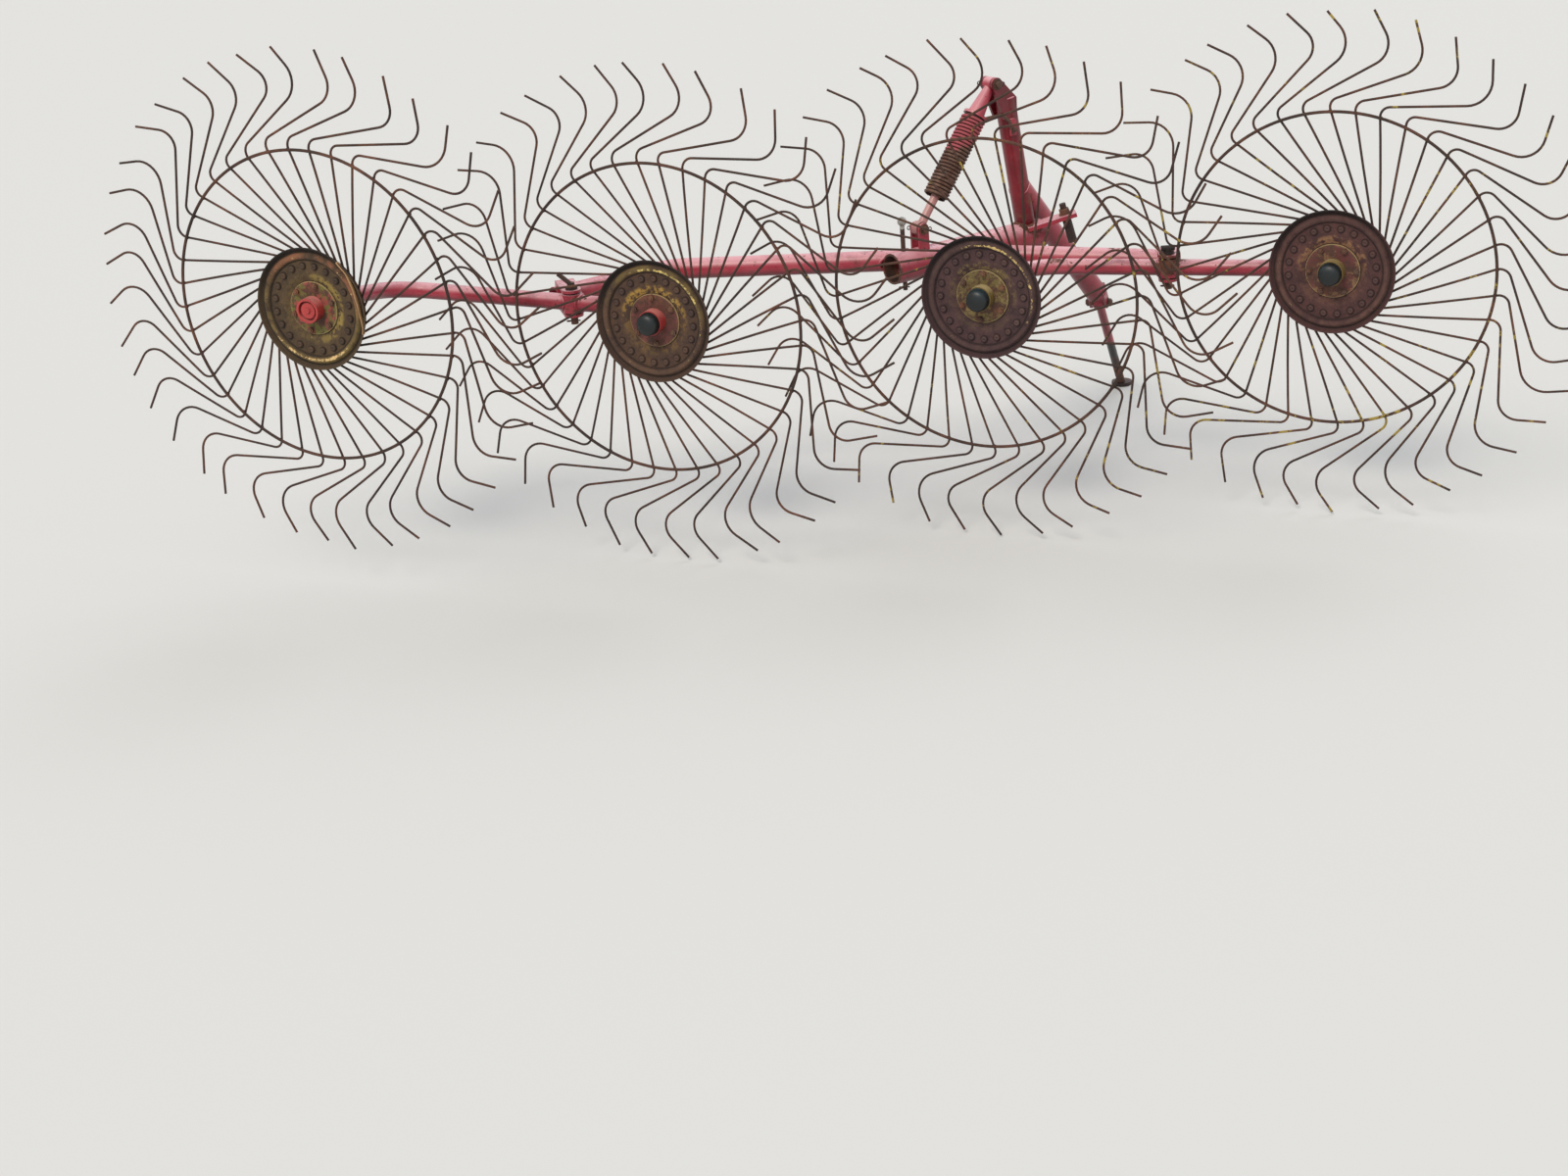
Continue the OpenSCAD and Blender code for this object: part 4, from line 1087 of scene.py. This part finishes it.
def dress_headstock():
    """Bent latch rod from the yoke to the mast, and the bolted tab that holds it."""
    def at(along, height, aside):
        return MAST_FOOT + MAIN_DIR * along + MAIN_SIDE * aside + UP * height

    steel = FINISHES["worn_steel"]
    bends = [at(*spot) for spot in LATCH_ROUTE]
    path = [bends[0]] + rounded(*bends[:3], 0.010, 5) + rounded(*bends[1:], 0.016, 5) + [bends[3]]
    one_piece("latch_rod", "frame", tube_along(path, LATCH_ROD), None, steel, "worn_steel")
    face = at(*LATCH_TAB)
    place = facing(face, MAIN_SIDE)
    upright = Matrix.Rotation(-math.atan2(place.col[0].z, place.col[1].z), 4, "Z")
    half, tall = TAB_HALF, TAB_TALL
    outline = [(-half, -tall), (half, -tall), (half, tall * 0.7), (half * 0.4, tall), (-half, tall)]
    one_piece("latch_tab", "frame", prism(outline, TAB_THICK), place @ upright, FINISHES["frame_red"],
              "frame_red", bevel=0.001)
    spot = face + MAIN_SIDE * (TAB_THICK / 2 + 0.0002) - UP * 0.008
    one_piece("latch_bolt", "frame", hex_head(*TAB_HEAD), facing(spot, MAIN_SIDE), steel, "worn_steel")


def dress_socket():
    """Rust inside the open socket and on its worn lip."""
    place = facing(SOCKET_END, MAIN_DIR)
    inner, outer = SOCKET_BORE - 0.0004, SOCKET_BORE - 0.0001
    near, far = SOCKET_RUST
    sleeve = lathe(ring_section(inner, outer, near, far), 64)
    one_piece("socket_rust", "frame", sleeve, place, FINISHES["socket_dark"], "dark_steel")
    inner, outer = SOCKET_BORE + 0.0002, MAIN_RADIUS - 0.0004
    section = [(inner, -0.0012), (outer, -0.0012), (outer, 0.0004), (inner, 0.0004)]
    one_piece("socket_lip", "frame", lathe(smooth_profile(section, 0.3, 2), 96), place,
              FINISHES["worn_steel"], "worn_steel")


# Stage


def show(obj):
    """Puts an object into the scene."""
    bpy.context.scene.collection.objects.link(obj)


def make_camera():
    """The photograph's camera."""
    data = bpy.data.cameras.new("camera")
    data.lens = CAMERA_LENS
    data.sensor_width = 36.0
    camera = bpy.data.objects.new("camera", data)
    forward = CAMERA_FORWARD.normalized()
    right = (CAMERA_RIGHT - forward * CAMERA_RIGHT.dot(forward)).normalized()
    turn = Matrix((right, right.cross(forward), -forward)).transposed().to_4x4()
    turn.translation = CAMERA_PLACE
    camera.matrix_world = turn
    show(camera)
    bpy.context.scene.camera = camera


def sun(name, direction, spread, power, tint):
    """Distant lamp, as soft as the angle it covers."""
    data = bpy.data.lights.new(name, "SUN")
    data.angle = math.radians(spread)
    data.energy = power
    data.color = colour(tint)[:3]
    light = bpy.data.objects.new(name, data)
    light.rotation_euler = Vector(direction).to_track_quat("-Z", "Y").to_euler()
    show(light)


def make_world(strength=0.58):
    """Even pale sky that also shows behind the object."""
    world = bpy.data.worlds.new("studio")
    world.use_nodes = True
    bpy.context.scene.world = world
    tree = world.node_tree
    tree.nodes.clear()

    def maximum(a, b):
        node = tree.nodes.new("ShaderNodeMath")
        node.operation = "MAXIMUM"
        tree.links.new(a, node.inputs[0])
        tree.links.new(b, node.inputs[1])
        return node.outputs[0]

    def plain(tint, power):
        node = tree.nodes.new("ShaderNodeBackground")
        node.inputs["Color"].default_value = colour(tint)
        node.inputs["Strength"].default_value = power
        return node.outputs[0]

    path = tree.nodes.new("ShaderNodeLightPath").outputs
    seen = maximum(path["Is Camera Ray"], maximum(path["Is Glossy Ray"], path["Is Transmission Ray"]))
    mix = tree.nodes.new("ShaderNodeMixShader")
    tree.links.new(seen, mix.inputs[0])
    tree.links.new(plain("f2f5fa", strength), mix.inputs[1])
    tree.links.new(plain("dfe0de", 1.0), mix.inputs[2])
    out = tree.nodes.new("ShaderNodeOutputWorld")
    tree.links.new(mix.outputs[0], out.inputs["Surface"])


def make_floor(reach=60.0):
    """Plain pale ground a hair below the object."""
    mesh = bpy.data.meshes.new("floor")
    corners = [(-reach, -reach, 0), (reach, -reach, 0), (reach, reach, 0), (-reach, reach, 0)]
    mesh.from_pydata(corners, [], [(0, 1, 2, 3)])
    floor = bpy.data.objects.new("floor", mesh)
    floor.location.z = -0.001
    show(floor)
    g = Graph("floor", roughness=0.9)
    g.colour("dcdcd8")
    coat(floor, g.material)


def make_stage():
    """Camera, sky, ground and lamps."""
    make_camera()
    make_world()
    make_floor()
    sun("key", (0.45, 0.75, -1.0), 22.0, 1.7, "fff6ea")
    sun("back", (-0.5, -0.9, -1.1), 30.0, 0.7, "eef3ff")
    bpy.context.scene.view_settings.view_transform = "Standard"


make_stage()
finish_nodes()
for wheel in WHEELS:
    dress_wheel(wheel)
    dress_tines(wheel)
for wheel in WHEELS[1:]:
    dress_cap(wheel)
dress_spring()
dress_carrier(1, 2, "left_gang", LEFT_SWIVEL)
dress_carrier(3, 4, "right_gang", RIGHT_SWIVEL)
dress_joins()
dress_fasteners()
dress_socket()
dress_headstock()
folded_lip()
